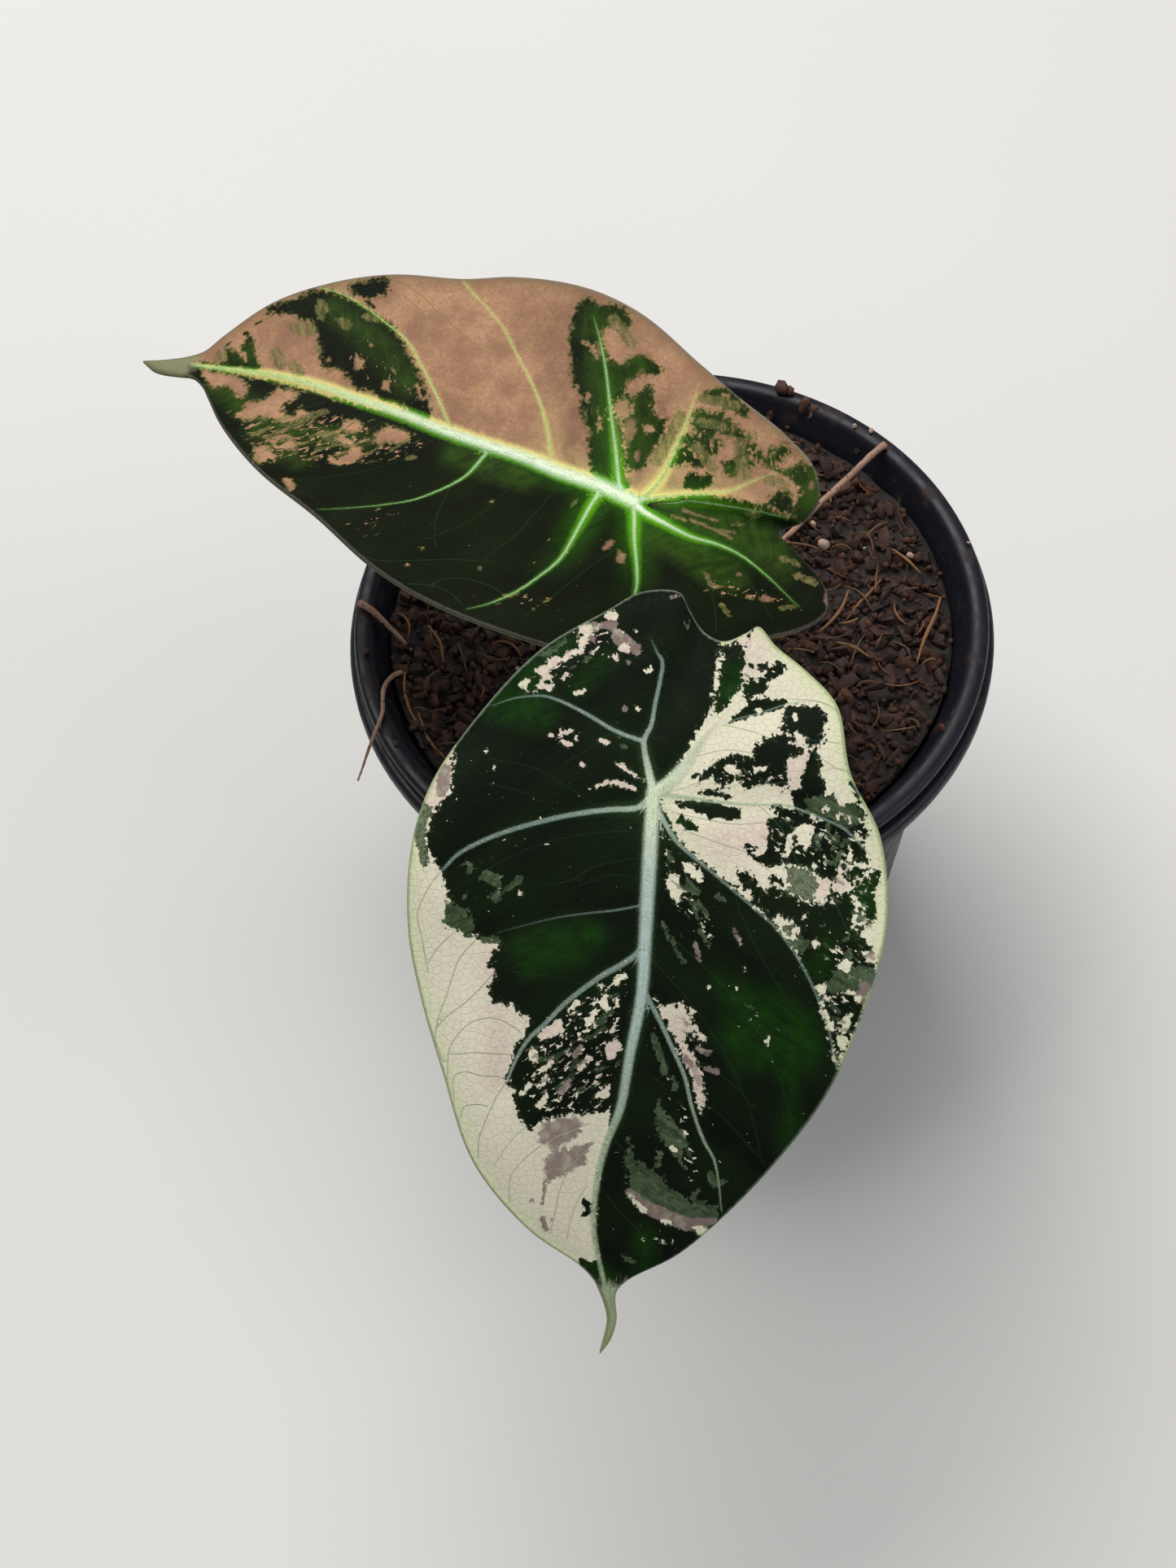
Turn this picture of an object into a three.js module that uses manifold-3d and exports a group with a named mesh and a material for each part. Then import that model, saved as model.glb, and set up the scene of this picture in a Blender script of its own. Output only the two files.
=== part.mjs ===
// A young pink-variegated velvet alocasia with two leaves, in a round black nursery pot.
// Millimetres, +Z up. The origin is the middle of the pot's base, on what the pot stands on.
// The plant is seen from -Y: the front leaf hangs out over the rim on that side.

import * as THREE from 'three';
import { mergeVertices } from 'three/addons/utils/BufferGeometryUtils.js';
import Module from 'manifold-3d';

const wasm = await Module();
wasm.setup();

// Fit between pieces that touch
const FIT = 0.3;

// Nursery pot
const POT_HEIGHT = 95;
const LIP_RADIUS = 60;
const LIP_WIDTH = 3.7;
const FLANGE_RADIUS = 61.2;
const COLLAR_HEIGHT = 8.5;
const BODY_TOP_RADIUS = 53.6;
const BASE_RADIUS = 43;
const POT_WALL = 1.3;
const POT_FACETS = 48;
const PAD_RADIUS = 12;
const FOOT_WIDTH = 6;
const RECESS = 1.5;
const NOTCH_COUNT = 8;
const NOTCH_RADIUS = 4;
const FLOOR_HOLE_COUNT = 4;
const FLOOR_HOLE_RADIUS = 4.5;
const FLOOR_HOLE_RING = 25;

// Potting mix
const MIX_TOP = 88.4;
const CHIP_COUNT = 100;
const CHIP_REACH = 51;
const CHIP_SEED = 20;

// Rhizome and the roots that hold it in the mix
const RHIZOME_RADIUS = 8.5;
const RHIZOME_TOP = 97;
const RHIZOME_BOTTOM = 62;
const ANCHOR_ROOT_COUNT = 6;
const ANCHOR_ROOT_RADIUS = 1.5;
const ANCHOR_ROOT_REACH = 30;

// Petioles
const PETIOLE_BASE_RADIUS = 3.1;
const PETIOLE_TOP_RADIUS = 2.0;
const COLLAR_BALL_RADIUS = 2.2;
const COLLAR_LENGTH = 4;

// Blades
const BLADE_THICKNESS = 0.9;
const BLADE_EDGE_STEPS = 56;
const BLADE_RINGS = 5;
const RIB_SIDES = 5;
const RIB_SHOW = 0.3;

// Each leaf is drawn flat in its own millimetres and then laid on its curved surface:
// the first number runs from the petiole along the midrib, the second runs across.
const FRONT_LEAF = {
  junction: [-7.8, -79.4, 158],
  heading: -98, // degrees round from +X that the tip points to
  slope: 26, // degrees that the midrib falls at the petiole
  bend: 30, // degrees that it turns down in each 100 mm
  cup: 8, // degrees that each half stands up from the midrib
  soft: 8,
  curl: 2,
  wave: 0.8,
  waves: 6,
  crease: 1.4,
  notch: [-26.5, -6.5],
  outline: [
    [-26.5, -6.5], [-30, -4], [-32.5, -2.5], [-32.5, 3.5], [-29, 9], [-21.5, 19], [-8, 30],
    [1, 35], [11, 37.3], [23, 37.2], [33, 35], [45, 31], [58.5, 26], [69.5, 17], [75.5, 9],
    [79, 5.8], [82, 3.8], [78.5, 1.5], [73.5, -6.5], [66, -14], [56, -22], [45, -29],
    [32, -34], [19, -37], [5.5, -35.5], [-4, -30.5], [-14.5, -28], [-20, -23], [-24, -18],
    [-27, -15.2], [-26, -13.5], [-24.6, -10],
  ],
  midrib: [[0, 0], [16, 0.2], [31, 0.5], [41, 2], [50, 3.3], [61, 6.2], [69, 6.8], [78, 5]],
  tail: [[76, 5.6], [80, 4.4], [85, 3.6], [88.3, 4.2], [91.2, 5.3]],
  sideVeins: [
    [[0, 0], [-8, 1.9], [-15.6, 0.1], [-22, 0.5], [-27, 2.5]],
    [[-8, 1.9], [-11.3, 10], [-13.6, 17], [-13, 24]],
    [[0, 0], [-6, -6.6], [-15, -13], [-21, -15.5]],
    [[-11, -9.8], [-14.5, -16], [-14.8, -25]],
    [[0, 0], [1.2, -12.7], [1.8, -22], [4, -29], [6, -32.5]],
    [[0.5, 0], [10, -7.3], [20.5, -20.3], [29.4, -26.5], [40.5, -29.8]],
    [[31, 0.2], [39, -5.2], [53, -10], [64, -13]],
    [[0.5, 0.5], [3.9, 12], [7, 22], [13.3, 32]],
    [[24, 0.8], [31, 9.5], [39, 17.6], [50.5, 23], [57, 25]],
  ],
  petiole: [[0.3, -3.6, 88], [0, -7, 104], [-1.5, -22, 119], [-4.3, -48, 138]],
};

const BACK_LEAF = {
  junction: [-6.4, -9.5, 142],
  heading: 152,
  slope: -5,
  bend: 18,
  cup: 18,
  soft: 6,
  curl: 0,
  wave: 0.8,
  waves: 7,
  crease: 2,
  notch: [-25.5, 6.5],
  outline: [
    [-25.5, 6.5], [-28.5, 10], [-29, 14], [-25.5, 19], [-19, 21.8], [-10, 24.2], [0, 28],
    [12, 32], [26, 33.6], [37, 32.3], [46, 29.2], [58.5, 26.3], [69, 21.8], [78.5, 15.8],
    [85.5, 8], [90, 3], [92, 0.3], [88.5, -1.2], [82, -5.5], [75, -12], [61.5, -21.5],
    [46.5, -29.3], [31, -37.3], [16.5, -40.5], [0, -41.3], [-12, -37.5], [-23, -29],
    [-30.5, -19.5], [-36, -12], [-38.7, -5], [-36.5, -0.5], [-30, 3.2],
  ],
  midrib: [[0, 0], [14, 0.4], [37, 0.9], [55, 2], [72, 2.5], [88, 1.2]],
  tail: [[86, 1.4], [89.5, 0.8], [92.5, 0.1], [96, 0], [99.3, 0]],
  sideVeins: [
    [[33, 0.8], [46, 11], [55, 16.6], [65, 19.9], [70, 20]],
    [[15, 0.5], [26, 14], [36, 23], [45.6, 29]],
    [[1, 0], [10.6, 14.2], [17.9, 26], [20.4, 29.5]],
    [[0, 0], [-2.8, 7], [-2.3, 19], [-1.5, 24]],
    [[0, 0], [-11, 6.8], [-17, 11.8], [-21, 15.5]],
    [[0, 0], [-12, -2.4], [-21, -1.6], [-33, -6.5]],
    [[0, 0], [-6.7, -14.3], [-9, -24], [-10, -33]],
    [[4, 0], [5.5, -10], [5, -20], [7.8, -31.6], [12, -38]],
    [[26, 0.5], [30.5, -13.6], [36.4, -22], [45, -28]],
  ],
  petiole: [[-0.3, 3.6, 88], [0.2, 4, 104], [-0.6, 0.5, 122], [-4.2, -6.6, 135]],
};

// Stray roots that lie on the mix and on the lip
const STRAY_ROOTS = {
  root_right: {
    radius: [0.75, 0.55],
    path: [[44.9, 36.2, 96.1], [42.8, 34.6, 95.9], [30.6, 25.4, 92], [24.5, 20, 90.4], [18, 15.5, 89.2]],
  },
  root_left: {
    radius: [0.8, 0.5],
    path: [
      [-58.6, 7.4, 96.3], [-56.6, 5.9, 96.1], [-54.4, 4.1, 94.4], [-51.6, 1.8, 91.6], [-49.4, 0, 89.2],
    ],
  },
  root_trailing: {
    radius: [0.45, 0.35],
    path: [
      [-50.6, -4.6, 89.7], [-53.2, -8, 92.8], [-54.6, -13, 95.8], [-54.9, -18, 95.9], [-56.5, -22.3, 95.4],
      [-58.1, -23.9, 92], [-59.5, -24.5, 88], [-60.4, -24.4, 84],
    ],
  },
};

// A closed solid from a closed geometry, with its shared vertices joined.
function solidOf(geometry) {
  const bare = geometry.clone();
  bare.deleteAttribute('normal');
  bare.deleteAttribute('uv');
  const merged = mergeVertices(bare, 1e-4);
  return new wasm.Manifold(new wasm.Mesh({
    numProp: 3,
    vertProperties: new Float32Array(merged.attributes.position.array),
    triVerts: new Uint32Array(merged.index.array),
  }));
}

function geometryOf(solid) {
  const mesh = solid.getMesh();
  const geometry = new THREE.BufferGeometry();
  geometry.setAttribute('position', new THREE.BufferAttribute(mesh.vertProperties, 3));
  geometry.setIndex(new THREE.BufferAttribute(mesh.triVerts, 1));
  geometry.computeVertexNormals();
  return geometry;
}

function joinAll(solids) {
  return solids.reduce((whole, piece) => whole.add(piece));
}

// A solid turned round Z from [radius, height] points that start and end on the axis.
function turned(profile, facets) {
  const points = profile.map(([radius, height]) => new THREE.Vector2(radius, height));
  return solidOf(new THREE.LatheGeometry(points, facets).rotateX(Math.PI / 2));
}

// A round bar along a curve, whose radius may change from its start (0) to its end (1).
function taperedBar(curve, radiusAt, sides, steps) {
  const bar = new THREE.CylinderGeometry(1, 1, 1, sides, steps);
  const frames = curve.computeFrenetFrames(steps);
  const position = bar.attributes.position;
  for (let i = 0; i < position.count; i++) {
    const along = position.getY(i) + 0.5;
    const step = Math.round(along * steps);
    const radius = radiusAt(along);
    const point = curve.getPointAt(along)
      .addScaledVector(frames.binormals[step], position.getX(i) * radius)
      .addScaledVector(frames.normals[step], position.getZ(i) * radius);
    position.setXYZ(i, point.x, point.y, point.z);
  }
  return solidOf(bar);
}

function curveThrough(points) {
  return new THREE.CatmullRomCurve3(points.map((point) => new THREE.Vector3(...point)));
}

// The same run of points with both ends drawn out, for the hole that a bar lies in.
function drawnOut(points, extra) {
  const ends = points.map((point) => new THREE.Vector3(...point));
  const last = ends.length - 1;
  const startWay = ends[0].clone().sub(ends[1]).setLength(extra);
  const endWay = ends[last].clone().sub(ends[last - 1]).setLength(extra);
  ends[0].add(startWay);
  ends[last].add(endWay);
  return ends.map((end) => end.toArray());
}

// A repeatable stream of numbers from 0 to 1.
function randomStream(seed) {
  let state = seed;
  return () => {
    state = (state * 1664525 + 1013904223) % 4294967296;
    return state / 4294967296;
  };
}

// Nursery pot

const SHOULDER = POT_HEIGHT - COLLAR_HEIGHT;
const POT_FLOOR = RECESS + POT_WALL;

// Radius of the pot's inner wall at a height between its floor and its lip.
function insideRadius(height) {
  const bottom = BASE_RADIUS - POT_WALL;
  const top = BODY_TOP_RADIUS - POT_WALL;
  if (height < SHOULDER) {
    return bottom + (top - bottom) * (height - POT_FLOOR) / (SHOULDER - POT_FLOOR);
  }
  const lip = LIP_RADIUS - LIP_WIDTH;
  return top + (lip - top) * (height - SHOULDER) / COLLAR_HEIGHT;
}

function nurseryPot() {
  const footInside = BASE_RADIUS - FOOT_WIDTH;
  const lipInside = LIP_RADIUS - LIP_WIDTH;
  let pot = turned([
    [0, 0],
    [PAD_RADIUS, 0],
    [PAD_RADIUS + 1, RECESS],
    [footInside - 1, RECESS],
    [footInside, 0],
    [BASE_RADIUS, 0],
    [BASE_RADIUS + 1, 1.2],
    [BODY_TOP_RADIUS, SHOULDER - 0.5],
    [FLANGE_RADIUS - 0.8, SHOULDER + 0.6],
    [FLANGE_RADIUS, SHOULDER + 1.6],
    [FLANGE_RADIUS, SHOULDER + 3.8],
    [FLANGE_RADIUS - 0.8, SHOULDER + 4.5],
    [LIP_RADIUS - 1.6, SHOULDER + 4.6],
    [LIP_RADIUS - 1.5, SHOULDER + 5.4],
    [LIP_RADIUS - 0.4, SHOULDER + 6.1],
    [LIP_RADIUS, SHOULDER + 7.2],
    [LIP_RADIUS - 0.4, SHOULDER + 8.1],
    [LIP_RADIUS - 1.3, POT_HEIGHT],
    [lipInside + 0.9, POT_HEIGHT],
    [lipInside, POT_HEIGHT - 0.8],
    [insideRadius(SHOULDER), SHOULDER],
    [insideRadius(POT_FLOOR), POT_FLOOR],
    [0, POT_FLOOR],
  ], POT_FACETS);
  for (let i = 0; i < NOTCH_COUNT; i++) {
    const turn = (i + 0.5) * 2 * Math.PI / NOTCH_COUNT;
    const notch = new THREE.CylinderGeometry(NOTCH_RADIUS, NOTCH_RADIUS, 12, 8)
      .rotateX(Math.PI / 2)
      .translate((BASE_RADIUS + 1) * Math.cos(turn), (BASE_RADIUS + 1) * Math.sin(turn), 0);
    pot = pot.subtract(solidOf(notch));
  }
  for (let i = 0; i < FLOOR_HOLE_COUNT; i++) {
    const turn = i * 2 * Math.PI / FLOOR_HOLE_COUNT;
    const hole = new THREE.CylinderGeometry(FLOOR_HOLE_RADIUS, FLOOR_HOLE_RADIUS, 12, 12)
      .rotateX(Math.PI / 2)
      .translate(FLOOR_HOLE_RING * Math.cos(turn), FLOOR_HOLE_RING * Math.sin(turn), 0);
    pot = pot.subtract(solidOf(hole));
  }
  return pot;
}

// Petioles, each from the rhizome to a small swelling under its blade

function petioleCurve(leaf, spare = 0) {
  const surface = leafSurface(leaf);
  const [start, ...rest] = leaf.petiole;
  const foot = [start[0], start[1], start[2] - spare];
  const end = surface.point(0, 0)
    .addScaledVector(surface.normal(0, 0), BLADE_THICKNESS / 2 - COLLAR_BALL_RADIUS);
  return curveThrough([foot, ...rest, end.toArray()]);
}

function petioleRadius(along) {
  return PETIOLE_TOP_RADIUS + (PETIOLE_BASE_RADIUS - PETIOLE_TOP_RADIUS) * (1 - along) ** 2;
}

// The stretch of a curve between two shares of its length.
function stretchOf(curve, from, to, count) {
  const points = [];
  for (let i = 0; i <= count; i++) {
    points.push(curve.getPointAt(from + (to - from) * i / count));
  }
  return new THREE.CatmullRomCurve3(points);
}

function petiole(leaf, spare) {
  const curve = petioleCurve(leaf, spare);
  const end = 1 - (COLLAR_LENGTH + FIT) / curve.getLength();
  const radiusAt = (along) => petioleRadius(along * end) + spare;
  return taperedBar(stretchOf(curve, 0, end, 14), radiusAt, 10, 14);
}

// Rhizome with its leaf scars, two sockets for the petioles and its anchoring roots

function anchorRootCurve(index, spare) {
  const turn = index * 2 * Math.PI / ANCHOR_ROOT_COUNT + 0.4;
  const fall = index % 2 ? 26 : 16;
  const start = RHIZOME_BOTTOM + 6 + 3 * (index % 3);
  const points = [[0, 0], [8, -1], [18, -6 - fall * 0.2], [ANCHOR_ROOT_REACH, -fall]];
  const path = points.map(([out, down], step) => {
    const swing = turn + 0.12 * step;
    return [out * Math.cos(swing), out * Math.sin(swing), start + down];
  });
  return curveThrough(drawnOut(path, spare));
}

function anchorRoots(spare) {
  const roots = [];
  for (let i = 0; i < ANCHOR_ROOT_COUNT; i++) {
    const radiusAt = (along) => ANCHOR_ROOT_RADIUS * (1 - 0.5 * along) + spare;
    roots.push(taperedBar(anchorRootCurve(i, spare), radiusAt, 5, 5));
  }
  return roots;
}

function rhizomeBody(spare) {
  const r = RHIZOME_RADIUS + spare;
  return turned([
    [0, RHIZOME_BOTTOM - spare],
    [r * 0.5, RHIZOME_BOTTOM - spare],
    [r * 0.85, RHIZOME_BOTTOM + 4],
    [r, RHIZOME_BOTTOM + 12],
    [r, 88],
    [r * 0.94, 89.2],
    [r * 1.02, 90.6],
    [r * 0.94, 91.8],
    [r * 1.0, 93.2],
    [r * 0.9, 94.4],
    [r * 0.86, 95.8],
    [r * 0.7, RHIZOME_TOP + spare],
    [0, RHIZOME_TOP + spare],
  ], 18);
}

function rhizome() {
  const whole = joinAll([rhizomeBody(0), ...anchorRoots(0)]);
  return whole.subtract(petiole(FRONT_LEAF, FIT)).subtract(petiole(BACK_LEAF, FIT));
}

// Potting mix: one bed whose top is covered with sunk-in chips

function chip(random, index) {
  const reach = CHIP_REACH * Math.sqrt((index + 0.5) / CHIP_COUNT);
  const turn = index * Math.PI * (3 - Math.sqrt(5));
  const length = 5 + 5 * random();
  const width = 2.6 + 2 * random();
  const box = new THREE.BoxGeometry(length, width, 2.2 + 1.4 * random());
  const position = box.attributes.position;
  const taper = 0.45 + 0.5 * random();
  for (let i = 0; i < position.count; i++) {
    if (position.getX(i) > 0) {
      position.setY(i, position.getY(i) * taper);
      position.setZ(i, position.getZ(i) * (taper + 0.2));
    }
  }
  return box
    .rotateX(random() * Math.PI)
    .rotateY((random() - 0.5) * 0.9)
    .rotateZ(random() * 2 * Math.PI)
    .translate(reach * Math.cos(turn), reach * Math.sin(turn), MIX_TOP + 0.2 + 0.7 * random());
}

function pottingMix() {
  const bottom = POT_FLOOR + FIT;
  const shape = (top) => turned([
    [0, bottom],
    [insideRadius(bottom) - FIT, bottom],
    [insideRadius(SHOULDER) - FIT, SHOULDER],
    [insideRadius(top) - FIT, top],
    [0, top],
  ], POT_FACETS);
  const random = randomStream(CHIP_SEED);
  const chips = [];
  for (let i = 0; i < CHIP_COUNT; i++) {
    chips.push(solidOf(chip(random, i)));
  }
  const room = shape(POT_HEIGHT - 1);
  let mix = joinAll([shape(MIX_TOP), ...chips]).intersect(room);
  mix = mix.subtract(turned([
    [0, RHIZOME_BOTTOM - FIT],
    [RHIZOME_RADIUS * 0.9, RHIZOME_BOTTOM - FIT],
    [RHIZOME_RADIUS * 1.02 + FIT, RHIZOME_BOTTOM + 10],
    [RHIZOME_RADIUS * 1.02 + FIT, POT_HEIGHT],
    [0, POT_HEIGHT],
  ], 18));
  anchorRoots(FIT).forEach((root) => {
    mix = mix.subtract(root);
  });
  Object.values(STRAY_ROOTS).forEach((root) => {
    mix = mix.subtract(strayRoot(root, FIT));
  });
  return mix;
}

// Stray roots

function strayRoot({ path, radius: [start, end] }, spare) {
  const radiusAt = (along) => start + (end - start) * along + spare;
  return taperedBar(curveThrough(drawnOut(path, spare)), radiusAt, 6, 2 * path.length);
}

// Leaf blades

function smoothStep(low, high, value) {
  const t = Math.min(1, Math.max(0, (value - low) / (high - low)));
  return t * t * (3 - 2 * t);
}

// Maps a leaf's flat drawing to its curved place in the air.
function leafSurface(leaf) {
  const degrees = Math.PI / 180;
  const up = new THREE.Vector3(0, 0, 1);
  const heading = leaf.heading * degrees;
  const slope = leaf.slope * degrees;
  const flat = new THREE.Vector3(Math.cos(heading), Math.sin(heading), 0);
  const forward = flat.clone().multiplyScalar(Math.cos(slope)).addScaledVector(up, -Math.sin(slope));
  const above = flat.clone().multiplyScalar(Math.sin(slope)).addScaledVector(up, Math.cos(slope));
  const across = new THREE.Vector3().crossVectors(forward, above);
  const bend = leaf.bend * degrees / 100;
  const notchAngle = Math.atan2(leaf.notch[1], leaf.notch[0]);

  const height = (a, b) => {
    const distance = Math.hypot(a, b);
    const angle = Math.atan2(b, a);
    const halves = Math.tan(leaf.cup * degrees) * (Math.hypot(b, leaf.soft) - leaf.soft);
    const curl = leaf.curl * (b / 38) ** 4;
    const wave = leaf.wave * (Math.min(distance, 40) / 40) ** 2 * Math.sin(leaf.waves * angle);
    const aside = distance * Math.sin(angle - notchAngle);
    const behind = distance * Math.cos(angle - notchAngle);
    const crease = leaf.crease * smoothStep(6, 24, behind) * Math.exp(-((aside / 3.5) ** 2));
    return halves - curl + wave - crease;
  };
  const point = (a, b) => {
    const turn = bend * a;
    const normal = above.clone().multiplyScalar(Math.cos(turn))
      .addScaledVector(forward, Math.sin(turn));
    return new THREE.Vector3(...leaf.junction)
      .addScaledVector(forward, Math.sin(turn) / bend)
      .addScaledVector(above, (Math.cos(turn) - 1) / bend)
      .addScaledVector(across, b)
      .addScaledVector(normal, height(a, b));
  };
  const normal = (a, b) => {
    const d = 0.5;
    const along = point(a + d, b).sub(point(a - d, b));
    const sideways = point(a, b + d).sub(point(a, b - d));
    return new THREE.Vector3().crossVectors(sideways, along).normalize();
  };
  return { point, normal };
}

// The bare sheet: rings round the petiole's place, alike on both faces.
function bladeSheet(leaf) {
  const surface = leafSurface(leaf);
  const outline = new THREE.CatmullRomCurve3(
    leaf.outline.map(([a, b]) => new THREE.Vector3(a, b, 0)),
    true,
  );
  const edge = outline.getSpacedPoints(BLADE_EDGE_STEPS).slice(0, BLADE_EDGE_STEPS);
  const positions = [];
  const index = [];
  const place = (a, b, side) => {
    const point = surface.point(a, b)
      .addScaledVector(surface.normal(a, b), side * BLADE_THICKNESS / 2);
    positions.push(...point.toArray());
  };
  const faceStart = [0, 1 + BLADE_EDGE_STEPS * BLADE_RINGS];
  [1, -1].forEach((side) => {
    place(0, 0, side);
    for (let ring = 1; ring <= BLADE_RINGS; ring++) {
      edge.forEach((point) => place(point.x * ring / BLADE_RINGS, point.y * ring / BLADE_RINGS, side));
    }
  });
  const vertex = (face, ring, step) => {
    if (ring === 0) {
      return faceStart[face];
    }
    return faceStart[face] + 1 + (ring - 1) * BLADE_EDGE_STEPS + step % BLADE_EDGE_STEPS;
  };
  const triangle = (face, p, q, r) => index.push(...(face === 0 ? [p, q, r] : [p, r, q]));
  for (let step = 0; step < BLADE_EDGE_STEPS; step++) {
    for (let face = 0; face < 2; face++) {
      triangle(face, vertex(face, 0, 0), vertex(face, 1, step), vertex(face, 1, step + 1));
      for (let ring = 1; ring < BLADE_RINGS; ring++) {
        const inner = vertex(face, ring, step);
        const innerNext = vertex(face, ring, step + 1);
        const outer = vertex(face, ring + 1, step);
        const outerNext = vertex(face, ring + 1, step + 1);
        triangle(face, inner, outer, outerNext);
        triangle(face, inner, outerNext, innerNext);
      }
    }
    const top = vertex(0, BLADE_RINGS, step);
    const topNext = vertex(0, BLADE_RINGS, step + 1);
    const under = vertex(1, BLADE_RINGS, step);
    const underNext = vertex(1, BLADE_RINGS, step + 1);
    index.push(top, under, underNext, top, underNext, topNext);
  }
  const sheet = new THREE.BufferGeometry();
  sheet.setAttribute('position', new THREE.Float32BufferAttribute(positions, 3));
  sheet.setIndex(index);
  return solidOf(sheet);
}

// A rib follows a vein, mostly under the sheet, and stands a little proud on top.
function rib(leaf, vein, start, end, steps) {
  const surface = leafSurface(leaf);
  const line = new THREE.SplineCurve(vein.map(([a, b]) => new THREE.Vector2(a, b)));
  const radiusAt = (along) => start + (end - start) * along;
  const points = line.getSpacedPoints(steps).map(({ x, y }, i) => {
    const sunk = Math.max(0, radiusAt(i / steps) - BLADE_THICKNESS / 2 - RIB_SHOW);
    return surface.point(x, y).addScaledVector(surface.normal(x, y), -sunk);
  });
  return taperedBar(new THREE.CatmullRomCurve3(points), radiusAt, RIB_SIDES, steps);
}

// The swelling that the petiole ends in.
function collar(leaf) {
  const curve = petioleCurve(leaf);
  const start = 1 - COLLAR_LENGTH / curve.getLength();
  const stalk = taperedBar(stretchOf(curve, start, 1, 3), () => PETIOLE_TOP_RADIUS, 10, 3);
  const { x, y, z } = curve.getPointAt(1);
  const ball = new THREE.SphereGeometry(COLLAR_BALL_RADIUS, 10, 8).translate(x, y, z);
  return stalk.add(solidOf(ball));
}

function blade(leaf) {
  return joinAll([
    bladeSheet(leaf),
    collar(leaf),
    rib(leaf, leaf.midrib, 1.8, 0.8, 8),
    rib(leaf, leaf.tail, 1.9, 0.4, 6),
    ...leaf.sideVeins.map((vein) => rib(leaf, vein, 1.1, 0.5, 5)),
  ]);
}

// Assembly

function mesh(name, solid, color, roughness) {
  const material = new THREE.MeshStandardMaterial({ color, roughness, metalness: 0 });
  material.name = name;
  const made = new THREE.Mesh(geometryOf(solid), material);
  made.name = name;
  return made;
}

const plant = new THREE.Group();
plant.name = 'potted_alocasia';
plant.add(
  mesh('nursery_pot', nurseryPot(), 0x1c1c20, 0.45),
  mesh('potting_mix', pottingMix(), 0x3a2218, 0.95),
  mesh('rhizome', rhizome(), 0x5f6b45, 0.7),
  mesh('front_petiole', petiole(FRONT_LEAF, 0), 0x8fa37a, 0.55),
  mesh('back_petiole', petiole(BACK_LEAF, 0), 0x8fa37a, 0.55),
  mesh('front_blade', blade(FRONT_LEAF), 0x2f4a2c, 0.6),
  mesh('back_blade', blade(BACK_LEAF), 0xa98672, 0.6),
);
Object.entries(STRAY_ROOTS).forEach(([name, root]) => {
  plant.add(mesh(name, strayRoot(root, 0), 0xa08468, 0.8));
});

export default plant;
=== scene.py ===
import math

import bmesh
import bpy
import numpy as np
from mathutils import Matrix, Vector, noise


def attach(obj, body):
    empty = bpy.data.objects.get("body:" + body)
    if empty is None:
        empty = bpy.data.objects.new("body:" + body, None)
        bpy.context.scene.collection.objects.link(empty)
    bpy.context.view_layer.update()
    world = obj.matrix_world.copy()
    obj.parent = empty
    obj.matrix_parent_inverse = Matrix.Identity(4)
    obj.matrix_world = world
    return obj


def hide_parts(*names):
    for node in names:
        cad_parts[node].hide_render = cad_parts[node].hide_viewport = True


# A young velvet alocasia with two leaves in a nursery pot. Shapes are drawn in millimetres
# and stored in metres. The plant is seen from -Y, where the front leaf hangs over the rim.
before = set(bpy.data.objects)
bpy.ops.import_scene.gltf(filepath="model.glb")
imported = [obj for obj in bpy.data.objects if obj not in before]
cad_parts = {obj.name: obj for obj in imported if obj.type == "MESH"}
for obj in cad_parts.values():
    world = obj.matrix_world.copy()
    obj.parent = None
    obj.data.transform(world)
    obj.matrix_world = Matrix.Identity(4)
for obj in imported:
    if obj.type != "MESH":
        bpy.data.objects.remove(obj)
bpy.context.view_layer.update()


# Nursery pot
# A round pot of black polypropylene, injection moulded in one piece. Its lip is a rolled
# bead over a groove and a flange, and the foot has drain notches round its edge.
MM = 0.001
WELD = 1e-6
POT_TURNS = 160
NOTCHES, NOTCH_RING, NOTCH_RADIUS = 8, 44.0, 4.0
DRAINS, DRAIN_RING, DRAIN_RADIUS = 4, 25.0, 4.5
DRILL_LENGTH = 12.0
DRILL_SIDES = 24
POT_PROFILE = [
    (0, 0), (12, 0), (13, 1.5), (36, 1.5), (37, 0), (43, 0), (44, 1.2), (44.77, 8),
    (46.13, 20), (53.6, 86), (60.4, 87.1), (61.2, 88.1), (61.2, 90.2), (60.4, 91),
    (58.3, 91), (58.3, 92), (59.7, 92.3), (60.1, 93.4), (59.8, 94.6), (58.7, 95),
    (57.4, 95), (56.4, 94.4), (52.6, 86.9), (52.2, 86), (43.91, 20), (42.9, 12),
    (41.8, 3.2), (41.2, 2.8), (0, 2.8),
]


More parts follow.
